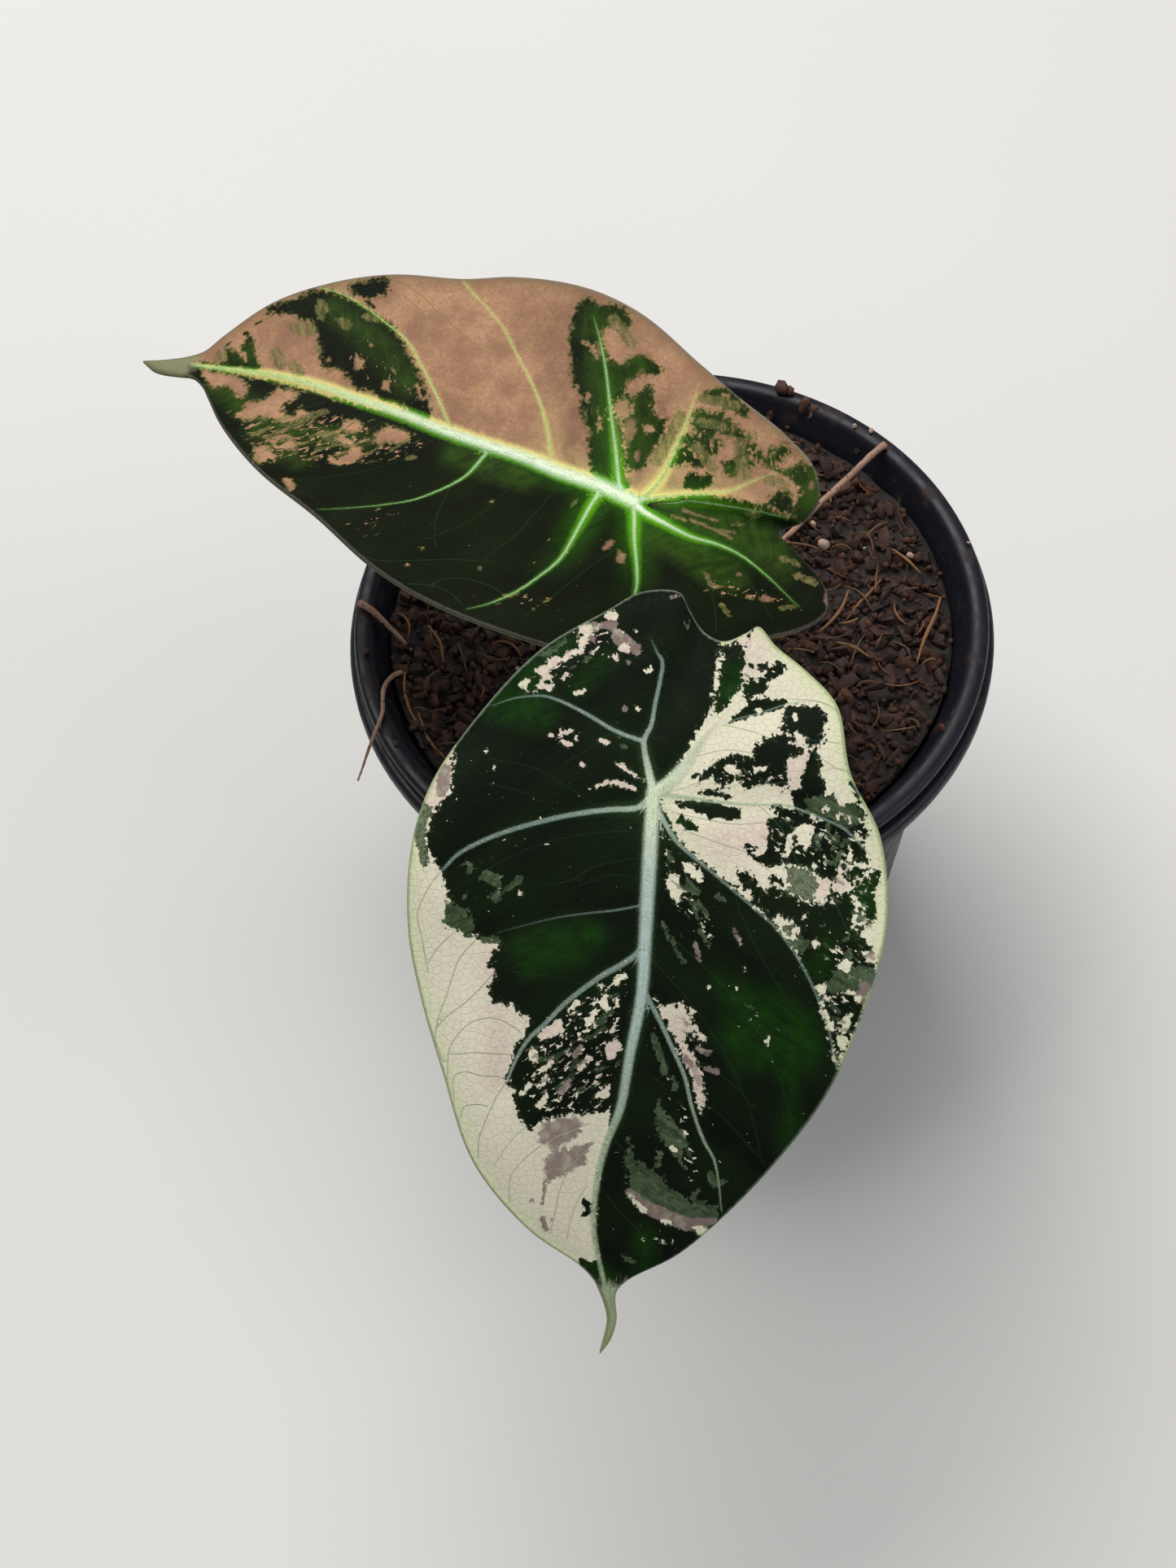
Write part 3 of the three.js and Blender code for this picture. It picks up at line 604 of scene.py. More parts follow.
# Front blade
# The large leaf in front: a velvety sheet that grew as one piece, cream on one side and
# nearly black green on the other, with silver veins above and raised ribs below.
FRONT_LEAF = {
    "junction": (-7.8, -79.4, 158), "heading": -98, "slope": 26, "bend": 30, "cup": 8,
    "soft": 8, "curl": 2, "wave": 0.8, "waves": 6, "crease": 1.4, "notch": (-26.5, -6.5),
    "quilt": 0.35, "tip_round": 0.8, "bumps": [],
    "outline": [
        (-26.5, -6.5), (-30, -4), (-32.5, -2.5), (-32.5, 3.5), (-29, 9), (-21.5, 19),
        (-8, 30), (1, 35), (11, 37.3), (23, 37.2), (33, 35), (45, 31), (58.5, 26),
        (69.5, 17), (75.5, 9), (78.2, 6.6), (80, 5.8), (82, 5.05), (85, 4.4), (87.8, 4.75),
        (89.8, 5.2), (91.4, 5.45), (90.2, 4.45), (88.4, 3.5), (85.1, 2.8), (82.2, 3.05),
        (80.2, 2.9), (78.2, 1.2), (73.5, -6.5), (66, -14), (56, -22), (45, -29), (32, -34),
        (19, -37), (5.5, -35.5), (-4, -30.5), (-14.5, -28), (-20, -23), (-24, -18),
        (-27, -15.2), (-26, -13.5), (-24.6, -10)],
    # In the outline: where the grid leaves the junction, where the drip tip starts, its end,
    # and the same on the other half.
    "marks": (7, 15, 21, 27, 35),
    "spine": [
        (0, 0), (7.9, 0.1), (15.9, 0.2), (23.7, 0.3), (31.4, 0.5), (41, 2), (49.5, 3.2),
        (55, 5.2), (61.5, 6.5), (69.3, 6.8), (77.8, 5.1), (80.5, 4.2), (85, 3.6),
        (88.3, 4.1), (91.1, 5.2)],
    "tip_start": 10,
    # Veins: half widths along them, how strongly they show, rib radii below, and their line.
    "veins": [
        ([1.25, 1.25, 1.12, 0.96, 0.78, 0.68, 0.55, 0.42, 0.33], [1, 1], [1.8, 0.8],
         [(0, 0), (7.9, 0.1), (15.9, 0.2), (23.7, 0.3), (31.4, 0.5), (41, 2), (49.5, 3.2),
          (55, 5.2), (61.5, 6.5), (69.3, 6.8), (77.8, 5.1), (82, 4)]),
        ([0.85, 0.5, 0.36, 0.34, 0.3, 0.16], [1, 1, 0.95, 0.9, 0.7, 0], [1.1, 0.5],
         [(0, 0), (-3.4, 0.9), (-8, 1.9), (-10.7, 0.9), (-14, 0.5), (-18, -0.1), (-21, -0.3),
          (-22.5, 0.6), (-25, 1.8)]),
        ([0.38, 0.34, 0.28, 0.2, 0.12], [0.95, 0.95, 0.9, 0.6, 0.25], [1.0, 0.4],
         [(-8, 1.9), (-9.5, 6.6), (-11.2, 9.8), (-12.7, 12.9), (-13.9, 16), (-14.3, 18.2),
          (-13.7, 22.4), (-12.3, 26)]),
        ([1.0, 1.1, 0.7, 0.3, 0.1], [1, 0.9, 0.55, 0.1, 0], [1.1, 0.5],
         [(0, 0), (-2.4, -3), (-5.6, -5.4), (-9.5, -7.8), (-13, -10.6), (-17, -14.5)]),
        ([0.1, 0.16, 0.14, 0.1], [0, 0.6, 0.6, 0.3], [0.9, 0.4],
         [(-9.4, -8.6), (-11.5, -11.1), (-13, -16), (-14.7, -21), (-14.8, -26), (-12, -30)]),
        ([0.5, 0.3, 0.24, 0.2, 0.22, 0.2], [1, 0.9, 0.8, 0.7, 0.75, 0.4], [1.1, 0.5],
         [(0, 0), (0.5, -5), (1, -10), (1.3, -15), (1.2, -20.7), (2.6, -25.3), (4.3, -29.6),
          (6.1, -31.8), (8.3, -34)]),
        ([0.55, 0.4, 0.28, 0.24, 0.24, 0.2], [1, 0.9, 0.65, 0.5, 0.5, 0.4], [1.1, 0.5],
         [(0.5, 0), (2.6, -0.9), (5.2, -2.4), (7.6, -4.2), (10.6, -8), (13.1, -11.3),
          (16.9, -16.2), (20.2, -20.2), (24.9, -23.9), (30.3, -26.9), (35.5, -28.9),
          (41, -30.3)]),
        ([0.3, 0.42, 0.34, 0.3, 0.24, 0.16], [1, 1, 0.9, 0.85, 0.75, 0.4], [1.1, 0.5],
         [(30, 0.2), (32.6, -0.9), (35.6, -2.6), (40, -4.8), (44, -6.7), (48.7, -8),
          (53.9, -10), (57, -11.8), (60.3, -12.6), (65.4, -13.3)]),
        ([0.55, 0.46, 0.42, 0.36, 0.26], [1, 0.95, 0.9, 0.85, 0.7], [1.1, 0.5],
         [(0.5, 0.5), (2.3, 2.1), (2.9, 6.6), (3.9, 12.1), (5.3, 17.2), (7, 22.2),
          (8.9, 26.5), (11, 29.9), (13.3, 32)]),
        ([0.2, 0.16, 0.1], [0.6, 0.35, 0], [0, 0],
         [(17.3, 0.4), (18.5, 5), (19, 8.5), (20, 14), (22, 21), (23, 24)]),
        ([0.55, 0.5, 0.42, 0.34, 0.24], [1, 1, 0.9, 0.85, 0.8], [1.1, 0.5],
         [(23.5, 0.5), (25.2, 1.6), (27, 4), (28.6, 6.6), (30.8, 9.5), (33.5, 12.6),
          (36.2, 15), (38.8, 17.6), (42, 19.5), (45.8, 20.9)]),
    ],
    # Thin veins: how strongly each shows, then the points of its line, a and b in turn.
    "fine": [
        (1, 13.3, 32, 16, 34, 18, 35, 20.5, 35.8, 24, 35, 29.5, 33.8),
        (1, 24, 26.5, 27, 29, 30, 30, 33.5, 31, 36.5, 32, 39, 32.4),
        (1, 29, 23.5, 32, 26, 34, 28, 36.5, 31, 39, 32.4, 43, 31),
        (1, 38, 19, 36.5, 21.5, 36, 24, 37, 27, 38.5, 28.5, 41, 30, 46, 30.2),
        (1, 45.8, 20.9, 48, 22.3, 52, 24, 55, 25, 58, 25),
        (1, 45, 22, 45, 25, 44.5, 27.5, 45.5, 29.2, 49, 29),
        (1, 50, 23, 49.5, 25, 50, 27.4, 52, 28), (0.9, 28, 34, 25, 32, 23, 30),
        (0.9, 41.5, 19, 41.5, 22.5, 41.5, 26, 42, 30),
        (0.8, 55, 7, 58, 10, 62, 12, 67, 13, 70, 13.6),
        (0.8, 52, 8, 54, 13, 58, 18, 61, 20, 65, 20), (0.7, 62, 8, 66, 10, 71, 11),
        (0.7, 52, 17, 55, 20, 59, 22.5), (0.3, 10, 1, 11, 5.5, 12, 9, 14, 12, 15, 15.5),
        (0.25, 30, 10, 29, 14, 29, 17.5, 28.5, 21), (0.25, 13.5, 1, 13, 6, 15, 11),
        (0.22, 6, 1, 6.5, 8, 8, 15, 11, 22, 15, 28), (0.22, 3, 8, 0, 13, -3, 19, -4, 26),
        (0.22, 4, 14, 1, 20, 0, 26), (0.22, -9.6, 6.4, -6, 11, -4, 14),
        (0.22, -13.5, 15, -18, 17, -22, 17),
        (0.3, 20, -1, 24, -6, 29, -12, 36, -18, 44, -22, 51, -24),
        (0.3, 26, -1, 32, -7, 40, -13, 48, -17, 57, -19.6),
        (0.3, 47, -8, 50, -13, 54, -17, 57, -20), (0.3, 40, -5.6, 43, -12, 48, -18),
        (0.3, 14, -13, 19, -15, 26, -19, 33, -24), (0.3, 54, 4.4, 58, 1, 63, -3, 68, -7),
        (0.3, 62, 6, 66, 3, 70, -1, 73, -4), (0.8, -8, -24, -6, -26, -4, -29.5),
        (0.8, -2.5, -21, -2, -18, -1, -14.5), (0.7, 3, -3, 4, -9, 4.5, -13, 4, -18),
        (0.7, 6, -6, 7.5, -10.5, 9, -16), (0.6, 10, -24, 12, -27, 15, -28.5, 20, -31),
        (0.7, 1, -16, 4.5, -20, 7, -21.5, 10, -23, 14, -26), (0.7, -6, -6.6, -7, -11, -6.5, -16),
        (0.7, -11, -10.5, -10, -15, -8.5, -19),
        (0.7, -15.3, -20.5, -15, -25, -13.4, -28, -10, -29.6),
        (0.6, -9, -23.3, -8.6, -27, -8.2, -30), (0.6, -4, -26, -4.6, -29, -3.4, -31),
    ],
}
# Patches in the order they lie: tint, half width (0 for an outline), then their points.
FRONT_LEAF["patches"] = [
    ("pale", 0, -9, 33.5, -6, 31.5, -2, 31.5, 2, 31.7, 3, 33, 6, 34.5, 10, 35, 12.5, 33.3,
     14, 32, 16, 31.5, 18, 31, 21.5, 32, 22.5, 30, 23.3, 27, 24, 25.5, 24.5, 22.5, 25.5, 23.8,
     27.5, 24.7, 29, 23.5, 31, 24.3, 33.5, 23.5, 33.8, 20.5, 35, 19.5, 35.5, 17.8, 36.5, 17.8,
     38.5, 18.5, 40.2, 19.6, 45, 21, 46.5, 20.5, 47, 19.5, 48.5, 19.5, 51, 18.8, 53, 17.3,
     51.5, 15, 50.8, 12, 50.3, 9.5, 50.2, 7, 49.5, 4.6, 55, 5.2, 61.5, 6.5, 69.3, 6.8, 74.5, 6.1,
     80, 9, 72, 25, 50, 38, 20, 43, -9, 39),
    ("grey", 0, 4, 34, 8, 35.2, 12, 34, 14, 35, 8, 37, 3, 36),
    ("grey", 0, 17.8, 31.4, 21.5, 31.9, 22.5, 30, 23.3, 27.5, 21, 27, 19.5, 28, 18.6, 29.5),
    ("grey", 0, 23.2, 22.8, 24.4, 23, 24.4, 25.6, 23.4, 26),
    ("grey", 0, 13, 25.5, 14, 26.5, 14.8, 26.3, 15.2, 24.5, 15.8, 23.5, 15.2, 23, 13.9, 23.3),
    ("grey", 0, 16.3, 24.2, 17.5, 25, 18.2, 23.6, 17.5, 22.8, 16.5, 23.2),
    ("grey", 0.45, 12.4, 28, 13.4, 28), ("grey", 0.4, 17.2, 28.5),
    ("grey", 0.5, 14.2, 20, 15, 21, 16, 22.2), ("pale", 0.4, 16.5, 19.8),
    ("mauve", 0, 53.7, 15.7, 51.9, 15.2, 51.5, 13.5, 51.1, 12.7, 50.6, 10, 51, 9.4, 51.8, 9.1,
     53.4, 9.2, 54, 9.9, 54.8, 11, 55, 12, 55.6, 12.6, 56.1, 13.3, 55.7, 14.1, 55.2, 14.3,
     55.2, 15.3, 54.6, 15.9),
    ("mauve", 0, 58.9, 14.8, 57.7, 14.7, 56.9, 13.9, 56.3, 13.1, 56.5, 12.6, 55.8, 11.8,
     56.2, 11, 55.4, 10.1, 55.2, 8.7, 54.8, 7.5, 55.2, 7.3, 56.8, 8.1, 58.7, 8.6, 58.9, 9.4,
     59.3, 10, 59.9, 11.3, 60.5, 12.5, 61.2, 13.8, 60.8, 14.7),
    ("mauve", 0.32, 61, 14.7, 62.4, 14.6, 64.7, 14.8), ("mauve", 0.36, 64.5, 16.6),
    ("mauve", 0.4, 67.4, 14.8, 69.3, 14.3), ("mauve", 0.24, 67.6, 13.3),
    ("deep", 0.18, 60.8, 13), ("deep", 0.16, 59.1, 10), ("grey", 0.28, 62.3, 14.6),
    ("deep", 0.14, 58.2, 18.9),
    ("deep", 0, 66.9, 9, 66.3, 8.2, 65.1, 7.7, 66.3, 7.2, 67.2, 7.4, 67.4, 8.2),
    ("deep", 0.5, 75.3, 6.6, 76.5, 7),
    # Between the second side vein and the midrib
    ("pale", 0, 35.5, 13, 37, 15, 38.5, 17, 38.9, 15.2, 38.2, 13.6, 37.5, 12.3),
    ("pale", 0, 40, 17, 41, 17.7, 42.5, 17.4, 42.5, 16.3, 41, 16),
    ("pale", 0, 41.3, 13.5, 43, 15.5, 44.2, 16.7, 44, 15, 42, 13.2),
    ("pale", 0, 38.5, 4, 39, 5.5, 40, 6, 41.5, 5.5, 41.7, 4.8, 40.5, 4, 39.8, 3.2),
    ("pale", 0, 45.5, 5, 46.5, 6, 47.5, 7.5, 48, 6, 47.5, 5),
    ("mauve", 0.55, 45.5, 11.3, 46.8, 12.5), ("pale", 0.5, 34.2, 7.7, 36.3, 8.5),
    ("pale", 0, 31.3, 6, 33, 7.7, 34.5, 5.2), ("pale", 0.5, 30.5, 6.9),
    ("pale", 0.45, 28.7, 3.4, 29.4, 4.6), ("pale", 0.35, 46, 17.3, 47.5, 18.6),
    ("pale", 0.45, 41.6, 8.4, 43, 9.6), ("pale", 0.35, 45, 14.6, 46, 15.8),
    ("pale", 0.35, 36.4, 4.4, 37.2, 5), ("mauve", 0.4, 39.8, 9.6, 41.2, 10.6),
    ("pale", 0.4, 33, 10.4, 34, 11.4), ("pale", 0.3, 43.2, 6.4),
    ("pale", 0.4, 47.6, 14.8, 49.4, 16),
    # Left lobe
    ("pale", 0, -21.9, 14.4, -20.6, 14.2, -19.9, 14.9, -19.6, 15.7, -19, 16.4, -18.5, 17.2,
     -17.9, 17.6, -17.2, 16.3, -16.2, 16.3, -15, 16.8, -15.1, 17.6, -15.6, 17.8, -15.4, 19,
     -15.6, 19.5, -16.1, 18.8, -17.1, 18.3, -17.4, 18.5, -17.8, 19.1, -18.1, 19.4, -18.9, 18.4,
     -19.5, 17.9, -20.1, 17.9, -20.6, 17.3, -20.6, 16.3, -20.5, 15.4, -21.2, 14.8),
    ("deep", 0.43, -16.6, 17.5), ("pale", 0.43, -15.9, 21.3, -16.4, 20.8),
    ("pale", 0.27, -15.4, 20.7, -14.8, 20.4), ("pale", 0.18, -14.5, 19.4),
    ("pale", 0.29, -17.2, 15.2, -17.9, 14.4), ("grey", 0.24, -17.9, 16.2),
    ("grey", 0.39, -20.6, 18.5, -22, 16.6, -23.3, 15.3),
    ("mauve", 0, -25.7, 13, -26.9, 11.7, -26.8, 9.9, -27.1, 8.7, -27.2, 7.1, -26, 6.9,
     -25.4, 5.9, -24.7, 5, -23.5, 3.4, -22.5, 2.9, -21.6, 3.7, -21.8, 4.3, -22.2, 4.8,
     -23.4, 4.8, -23.6, 5.7, -23.1, 6.7, -23.5, 7.5, -24.9, 7.9, -25.9, 8.2, -25.9, 9.4,
     -25.7, 10.1, -24.7, 10.7, -23, 10.2, -23.8, 11.5, -24.6, 11.9, -25.1, 12.5),
    ("pale", 0, -28.3, 9.3, -29, 8.4, -28.9, 7.6, -27.8, 6.9, -27.5, 7.3, -27.1, 8.1,
     -27.3, 8.8),
    ("pale", 0, -25.6, 13.1, -26.6, 12, -26.3, 10.8, -26.4, 9.9, -25.7, 10.3, -25.2, 11.2,
     -24.7, 10.8, -24, 11.7, -23.1, 11.8, -22.4, 12.4, -21.4, 12.4, -21, 14.2, -21.8, 14.3,
     -21.9, 13.3, -22.6, 12.8, -23.2, 13.4, -24.2, 13.1, -24.5, 12.3, -24.9, 12.9),
    ("pale", 0, -23.1, 6.8, -23.8, 6, -23.7, 5, -23, 4.8, -21.9, 5.1, -22.3, 5.7, -22.3, 6.5,
     -21.8, 6.7, -21.1, 6.5, -20.5, 7, -21, 7.4, -21.3, 8.4, -21.7, 7.5, -22.1, 6.8),
    ("pale", 0.24, -21.7, 10.9, -21.8, 10.5), ("grey", 0.26, -20.8, 11.9, -21, 11.2),
    ("pale", 0.26, -25.8, 4.1), ("pale", 0.28, -25.3, 6.5, -25.3, 6.1),
    ("mauve", 0.44, -20.5, 5.1), ("pale", 0.24, -19.2, 2.4, -19.7, 1.4),
    ("pale", 0.36, -15, 12.9, -15.3, 11.8), ("grey", 0.24, -22.2, -1),
    ("grey", 0.2, -24.7, -0.1), ("grey", 0.18, -15.4, 1.9), ("pale", 0.16, -24.7, 13.6),
    ("grey", 0.34, -30.2, 7.2, -31.3, 6), ("pale", 0.18, -31.1, 6.5, -31.4, 5.8),
    ("mauve", 0.26, -31.6, -1.2, -32, -2.3),
    ("grey", 0, -28.1, -3, -26.9, -3.6, -26.1, -3.4, -26.4, -4, -27.8, -4.4, -28.6, -4.2,
     -27.4, -3.8), ("pale", 0.4, -8.1, 16.4), ("pale", 0.45, -8.8, 14.8, -9, 13.6),
    ("pale", 0.35, -7.2, 14.7, -6.9, 13.3), ("pale", 0.35, -8, 12.4),
    ("pale", 0.5, -7.8, 8.6, -7.5, 7.9), ("grey", 0.35, -8.4, 6),
    ("grey", 0.35, -7.3, 5.6, -7, 4.9), ("pale", 0.4, -3.8, 11.3), ("mauve", 0.4, -13, 5.1),
    ("pale", 0.35, -13.3, 3.2), ("pale", 0.35, -5.2, 26.4), ("pale", 0.3, -2.6, 25),
    ("pale", 0, -4.4, 6.2, -4.5, 5, -3.4, 3.6, -1.6, 1.6, -2.2, 2.9, -3, 4.4, -3.6, 5.6),
    ("pale", 0, -0.2, 10, -1, 8.2, -1.8, 6.8, -1.6, 4.6, -0.8, 3, -0.1, 2.2, -0.5, 4.4, -1, 6.4,
     -0.5, 8), ("mauve", 1.0, -1.8, 32.6, 1.4, 32.8),
    # Right lobe and the half below the midrib
    ("pale", 0, 0, -0.8, 2, -1.5, 5, -3.2, 7.6, -4.6, 10.6, -8.6, 13.1, -11.8, 16.9, -16.8,
     20.2, -20.8, 24.9, -24.5, 30.3, -27.4, 35.5, -29.3, 42, -30.9, 42, -34, 30, -40, 10, -42,
     -10, -36, -25, -27, -31, -16, -26.5, -12, -24.5, -9.6, -14, -8.6, -12, -7.6, -8, -5.6,
     -4, -3.6, -2, -2),
    ("deep", 0, -23.4, -9.7, -24.6, -11.8, -23.7, -13.3, -26.9, -14.6, -26, -14, -23, -12.9,
     -22, -13.1, -21, -13.6, -20, -13.1, -18.6, -13.1, -18.1, -13.6, -17.3, -12.8, -16.5, -12.4,
     -15.8, -11.9, -14.8, -11.1, -13.5, -10.2, -12.7, -9.4, -12.2, -8.6, -15.1, -9.2,
     -18.4, -9.6, -21, -9.9),
    ("deep", 0, -21, -13.3, -21, -14.3, -20.6, -15.1, -21.1, -16.1, -21.1, -16.8, -20.3, -17,
     -20.4, -17.8, -21.2, -18.4, -20.7, -19.9, -20.2, -20, -19.2, -19.1, -18.7, -18.5,
     -18.4, -17.5, -17.9, -17.1, -16.9, -17.1, -16.2, -16.5, -15.7, -15.4, -15.3, -15.1,
     -15.2, -13.7, -16.7, -13, -18.1, -13.6, -18.5, -14.7, -18.4, -15.3, -18.9, -16.2,
     -19.5, -16.7, -19.8, -15.9, -20.3, -15.2, -20.1, -14.6, -20.4, -13.9),
    ("deep", 0, -11.5, -11.2, -12.6, -12.1, -13.5, -13, -14.4, -14.2, -14.9, -13.7, -15.2, -15.1,
     -15.3, -16.7, -15.3, -20.5, -14.6, -20.4, -14, -19.6, -13.5, -18.4, -12.9, -16.5,
     -12.5, -14.9, -11.9, -13.1), ("pale", 0.35, -13.6, -15.6, -13.4, -16.2),
    ("deep", 0, -14.4, -19.9, -14.6, -21.2, -14.4, -22.5, -14.2, -23.7, -14.3, -25, -13.5, -26,
     -12.7, -26.5, -10.3, -26.4, -9.5, -26, -9, -26.3, -8.3, -25.6, -8.1, -24.6, -7.7, -24,
     -8.1, -23.4, -8.9, -23.3, -9.7, -22.7, -10, -22, -10, -20.8, -9.7, -20.1, -10.1, -19.6,
     -10.8, -19.3, -11.4, -19.7, -12.7, -19.8), ("pale", 0.35, -12.7, -21.6, -12.1, -21.9),
    ("deep", 0, -9.8, -20.1, -9.8, -18.9, -9.2, -17.9, -9.1, -17.2, -8, -15.9, -6.8, -15.4,
     -6, -15.2, -6.2, -14, -6.3, -12.4, -6.1, -11.1, -5.3, -10, -4.5, -8.8, -3.6, -7.4, -3, -6.2,
     -2.5, -6, -2.4, -6.8, -2.6, -8.1, -2.7, -9.2, -1.9, -9.9, -1.5, -10.7, -1, -11.2, -2, -11.7,
     -2.3, -12.6, -2, -13.5, -1.3, -14, -1.4, -15.1, -1.7, -16.4, -2, -17.6, -1.7, -18.9,
     -1.1, -19.9, -1.6, -20.6, -2.6, -21.1, -3.8, -20.7, -5.1, -20.7, -5.9, -20.9, -6.4, -22.2,
     -6.8, -22.8, -8, -22.8, -8.6, -22.1, -9.2, -20.8),
    ("pale", 0, -4.7, -10.9, -4.8, -12.4, -3.9, -13.4, -3.3, -12.5, -3.7, -11.1),
    ("pale", 0, -4.6, -15.5, -4.6, -16.9, -4.8, -18, -4, -17.2, -3.7, -15.8),
    ("pale", 0, -8.5, -20.5, -9, -21.3, -8.4, -21.9, -8, -21.2),
    ("deep", 0, -8.1, -24.4, -7.3, -23.7, -7.2, -24.7, -6.4, -25.5, -5.2, -26.1, -3.9, -25.8,
     -3.5, -25.1, -3.3, -26.1, -2.4, -27, -1.3, -26.9, -0.6, -26.7, -0.2, -25.6, 0, -24.3,
     0.8, -23.7, 1.1, -22.5, 0.9, -21.7, -0.7, -21.5, -1.3, -22.1, -1.8, -23.2, -2.8, -23,
     -3.9, -23.2, -4.8, -23.7, -6.1, -23.8),
    ("deep", 0, -0.2, -6.9, -0.9, -8.2, -1, -9.4, -0.8, -10.7, -0.2, -11.4, 0.2, -12.5,
     0.6, -12.3, 0.4, -10.8, 0.1, -9.5, 0, -8.2),
    ("deep", 0, 1, -3.5, 0.9, -7.6, 1.2, -9.9, 1.6, -11.8, 1.8, -13.5, 2.7, -14, 3.6, -13.8,
     3.9, -12.2, 3.4, -10.6, 3.8, -9, 2.9, -7.4, 2.2, -5.8, 2.1, -4.2),
    ("bright", 0.7, 4.1, -4.6, 5.2, -6.4),
    ("deep", 0, -3.5, -30.1, -2.6, -30.8, -1.7, -31.6, -1.1, -32.3, -0.3, -32, -1, -31.2,
     -2.2, -30.5),
    ("deep", 0, 1.6, -20.1, 1.7, -21.5, 2.5, -23.3, 3.5, -24, 4.1, -23.3, 4, -22.3, 5, -22.1,
     6.7, -22.4, 5.7, -21.3, 6.4, -21, 7.8, -20.9, 9.2, -20.4, 10.5, -19.9, 10.7, -18.7,
     10.5, -17.5, 9.9, -16.2, 9.3, -15.3, 8.1, -14.7, 7.2, -14.8, 7.5, -15.6, 8, -16.4,
     8.9, -16.4, 9.2, -17.2, 8.3, -17.9, 7, -18.2, 6.5, -17.8, 6.3, -18.7, 4.8, -18.8,
     4.1, -18.1, 3.6, -19.1, 3.7, -20, 2.6, -19.6),
    ("deep", 0, 11.7, -13.4, 11.7, -15.3, 12.2, -16, 12.9, -16.5, 13.4, -17.1, 14.6, -17.7,
     14.7, -18.9, 14.2, -18.2, 13.3, -19.5, 12.9, -18.8, 12.1, -18.9, 12.2, -19.8, 12.7, -20.7,
     13.4, -21.1, 13.6, -19.9, 14.2, -20.1, 14.5, -21.3, 15, -23.1, 15.6, -24.2, 16, -25.9,
     16.2, -27, 15.2, -27.1, 14.6, -27.9, 13.9, -28.6, 14.7, -29.2, 14.7, -30.7, 13.4, -31.7,
     12.2, -31.5, 11.6, -30.8, 11.2, -30.1, 10.7, -30.6, 10.5, -33.7, 10.5, -35.1, 11.3, -35.5,
     12.5, -35.5, 12.8, -34.8, 14.5, -35.1, 17.9, -35.2, 18.4, -34.5, 18, -33.6, 17.3, -33.3,
     17, -32.2, 18.1, -31.6, 19.1, -32, 19.7, -33, 20.6, -33.4, 20.9, -32.4, 21.5, -32.1,
     22.2, -34.9, 23.1, -34.7, 23.1, -33.5, 22.8, -32.5, 22.9, -31.4, 23.2, -30.4, 24.3, -30.3,
     24.7, -29.2, 25.7, -28.8, 27.1, -28.1, 28, -27.5, 28.4, -26.4, 27.8, -25.7, 26.6, -25,
     25.3, -24.8, 23.5, -24.9, 22.5, -25.5, 21.8, -25.1, 21.5, -23.7, 20.5, -23.3, 20, -24,
     18.8, -22.6, 18.2, -21.1, 17.9, -20.1, 18.6, -19.4, 18.8, -18.9, 17.7, -17.8, 17, -17.2,
     16.3, -16.9, 15.3, -15.8, 14.5, -15.7, 14.1, -15, 13.5, -14.6, 12.5, -13.7),
    ("grey", 0, 17.4, -32, 19.6, -32.6, 18.8, -33.6, 17.2, -33.4),
    ("pale", 0.5, 15.6, -31.8, 16, -32.6), ("pale", 0.35, 11.4, -34.4),
    ("deep", 0, 3.7, -17.8, 3.4, -18.7, 2.6, -19.3, 1.5, -18.6, 1.3, -20, 2.4, -21, 2.5, -21.5,
     1.8, -21.6, 1.5, -22.1, -1.3, -21.2, -1.7, -22.2, -1.8, -22.8, -2.7, -23.1, -3.3, -25.8,
     -1.9, -27, -0.9, -26.7, -0.2, -28.2, 0.5, -29.8, 0.2, -32.1, 2.5, -33.3, 3.1, -32.2,
     4.9, -33.7, 5.7, -33.1, 7.1, -33, 8.2, -33.6, 9.5, -33.7, 9.4, -32.9, 9.3, -31.3,
     9.3, -30.6, 10, -30.2, 10.3, -29.4, 11, -29.9, 12.6, -29, 13.6, -28, 12.5, -26.5,
     11.4, -25.6, 10.4, -22.7, 10.2, -20.8, 10.7, -19.8, 10.9, -17.9, 8.3, -17.8, 7.7, -18.5,
     6.7, -18.1, 5.5, -18.6, 4.4, -18),
    ("pale", 0, 4.6, -22.3, 4.1, -23.2, 3.9, -24.2, 4.3, -25, 4.9, -25.3, 5.7, -25, 6.8, -25.2,
     7.6, -24.5, 8.2, -24, 7.5, -23.3, 6.9, -22.8, 5.9, -22.7, 5.2, -22.2),
    ("pale", 0, 5.8, -21.2, 5.4, -21.8, 6.5, -22, 7.3, -22.7, 7.7, -22, 8.5, -21.5, 9.3, -21.5,
     9.1, -20.7, 8.1, -20.9, 7, -21),
    ("grey", 0, -0.1, -24, -0.4, -26.7, -0.1, -28.2, 0.7, -29, 0.3, -31, 0.8, -31.7, 2.3, -32.4,
     3.2, -32.2, 4.3, -30.9, 4.5, -30, 3.3, -28.4, 2.7, -26.8, 2.7, -25.3, 1.7, -24),
    ("pale", 0.42, 1.8, -26.6, 1.5, -27.1),
    ("pale", 0, 0.3, -28.5, 0.2, -29.6, 0.9, -29.8, 1.1, -29.1),
    ("pale", 0, 1.9, -28.3, 1.7, -29.1, 3.2, -29.2, 3.3, -28.4),
    ("pale", 0.31, 2.3, -30, 3.2, -30.7, 3.5, -30.4),
    ("pale", 0.27, 2.6, -24.7, 3.1, -25.5, 3.3, -26.3),
    ("pale", 0, 4.8, -31, 4.8, -31.7, 5.7, -32.4, 5.9, -33.1, 7.2, -33.5, 6.7, -32.8,
     5.6, -31.6), ("deep", 0, 4.2, -32.2, 4, -33, 4.9, -33.7, 5.7, -33.1, 5.4, -32.4),
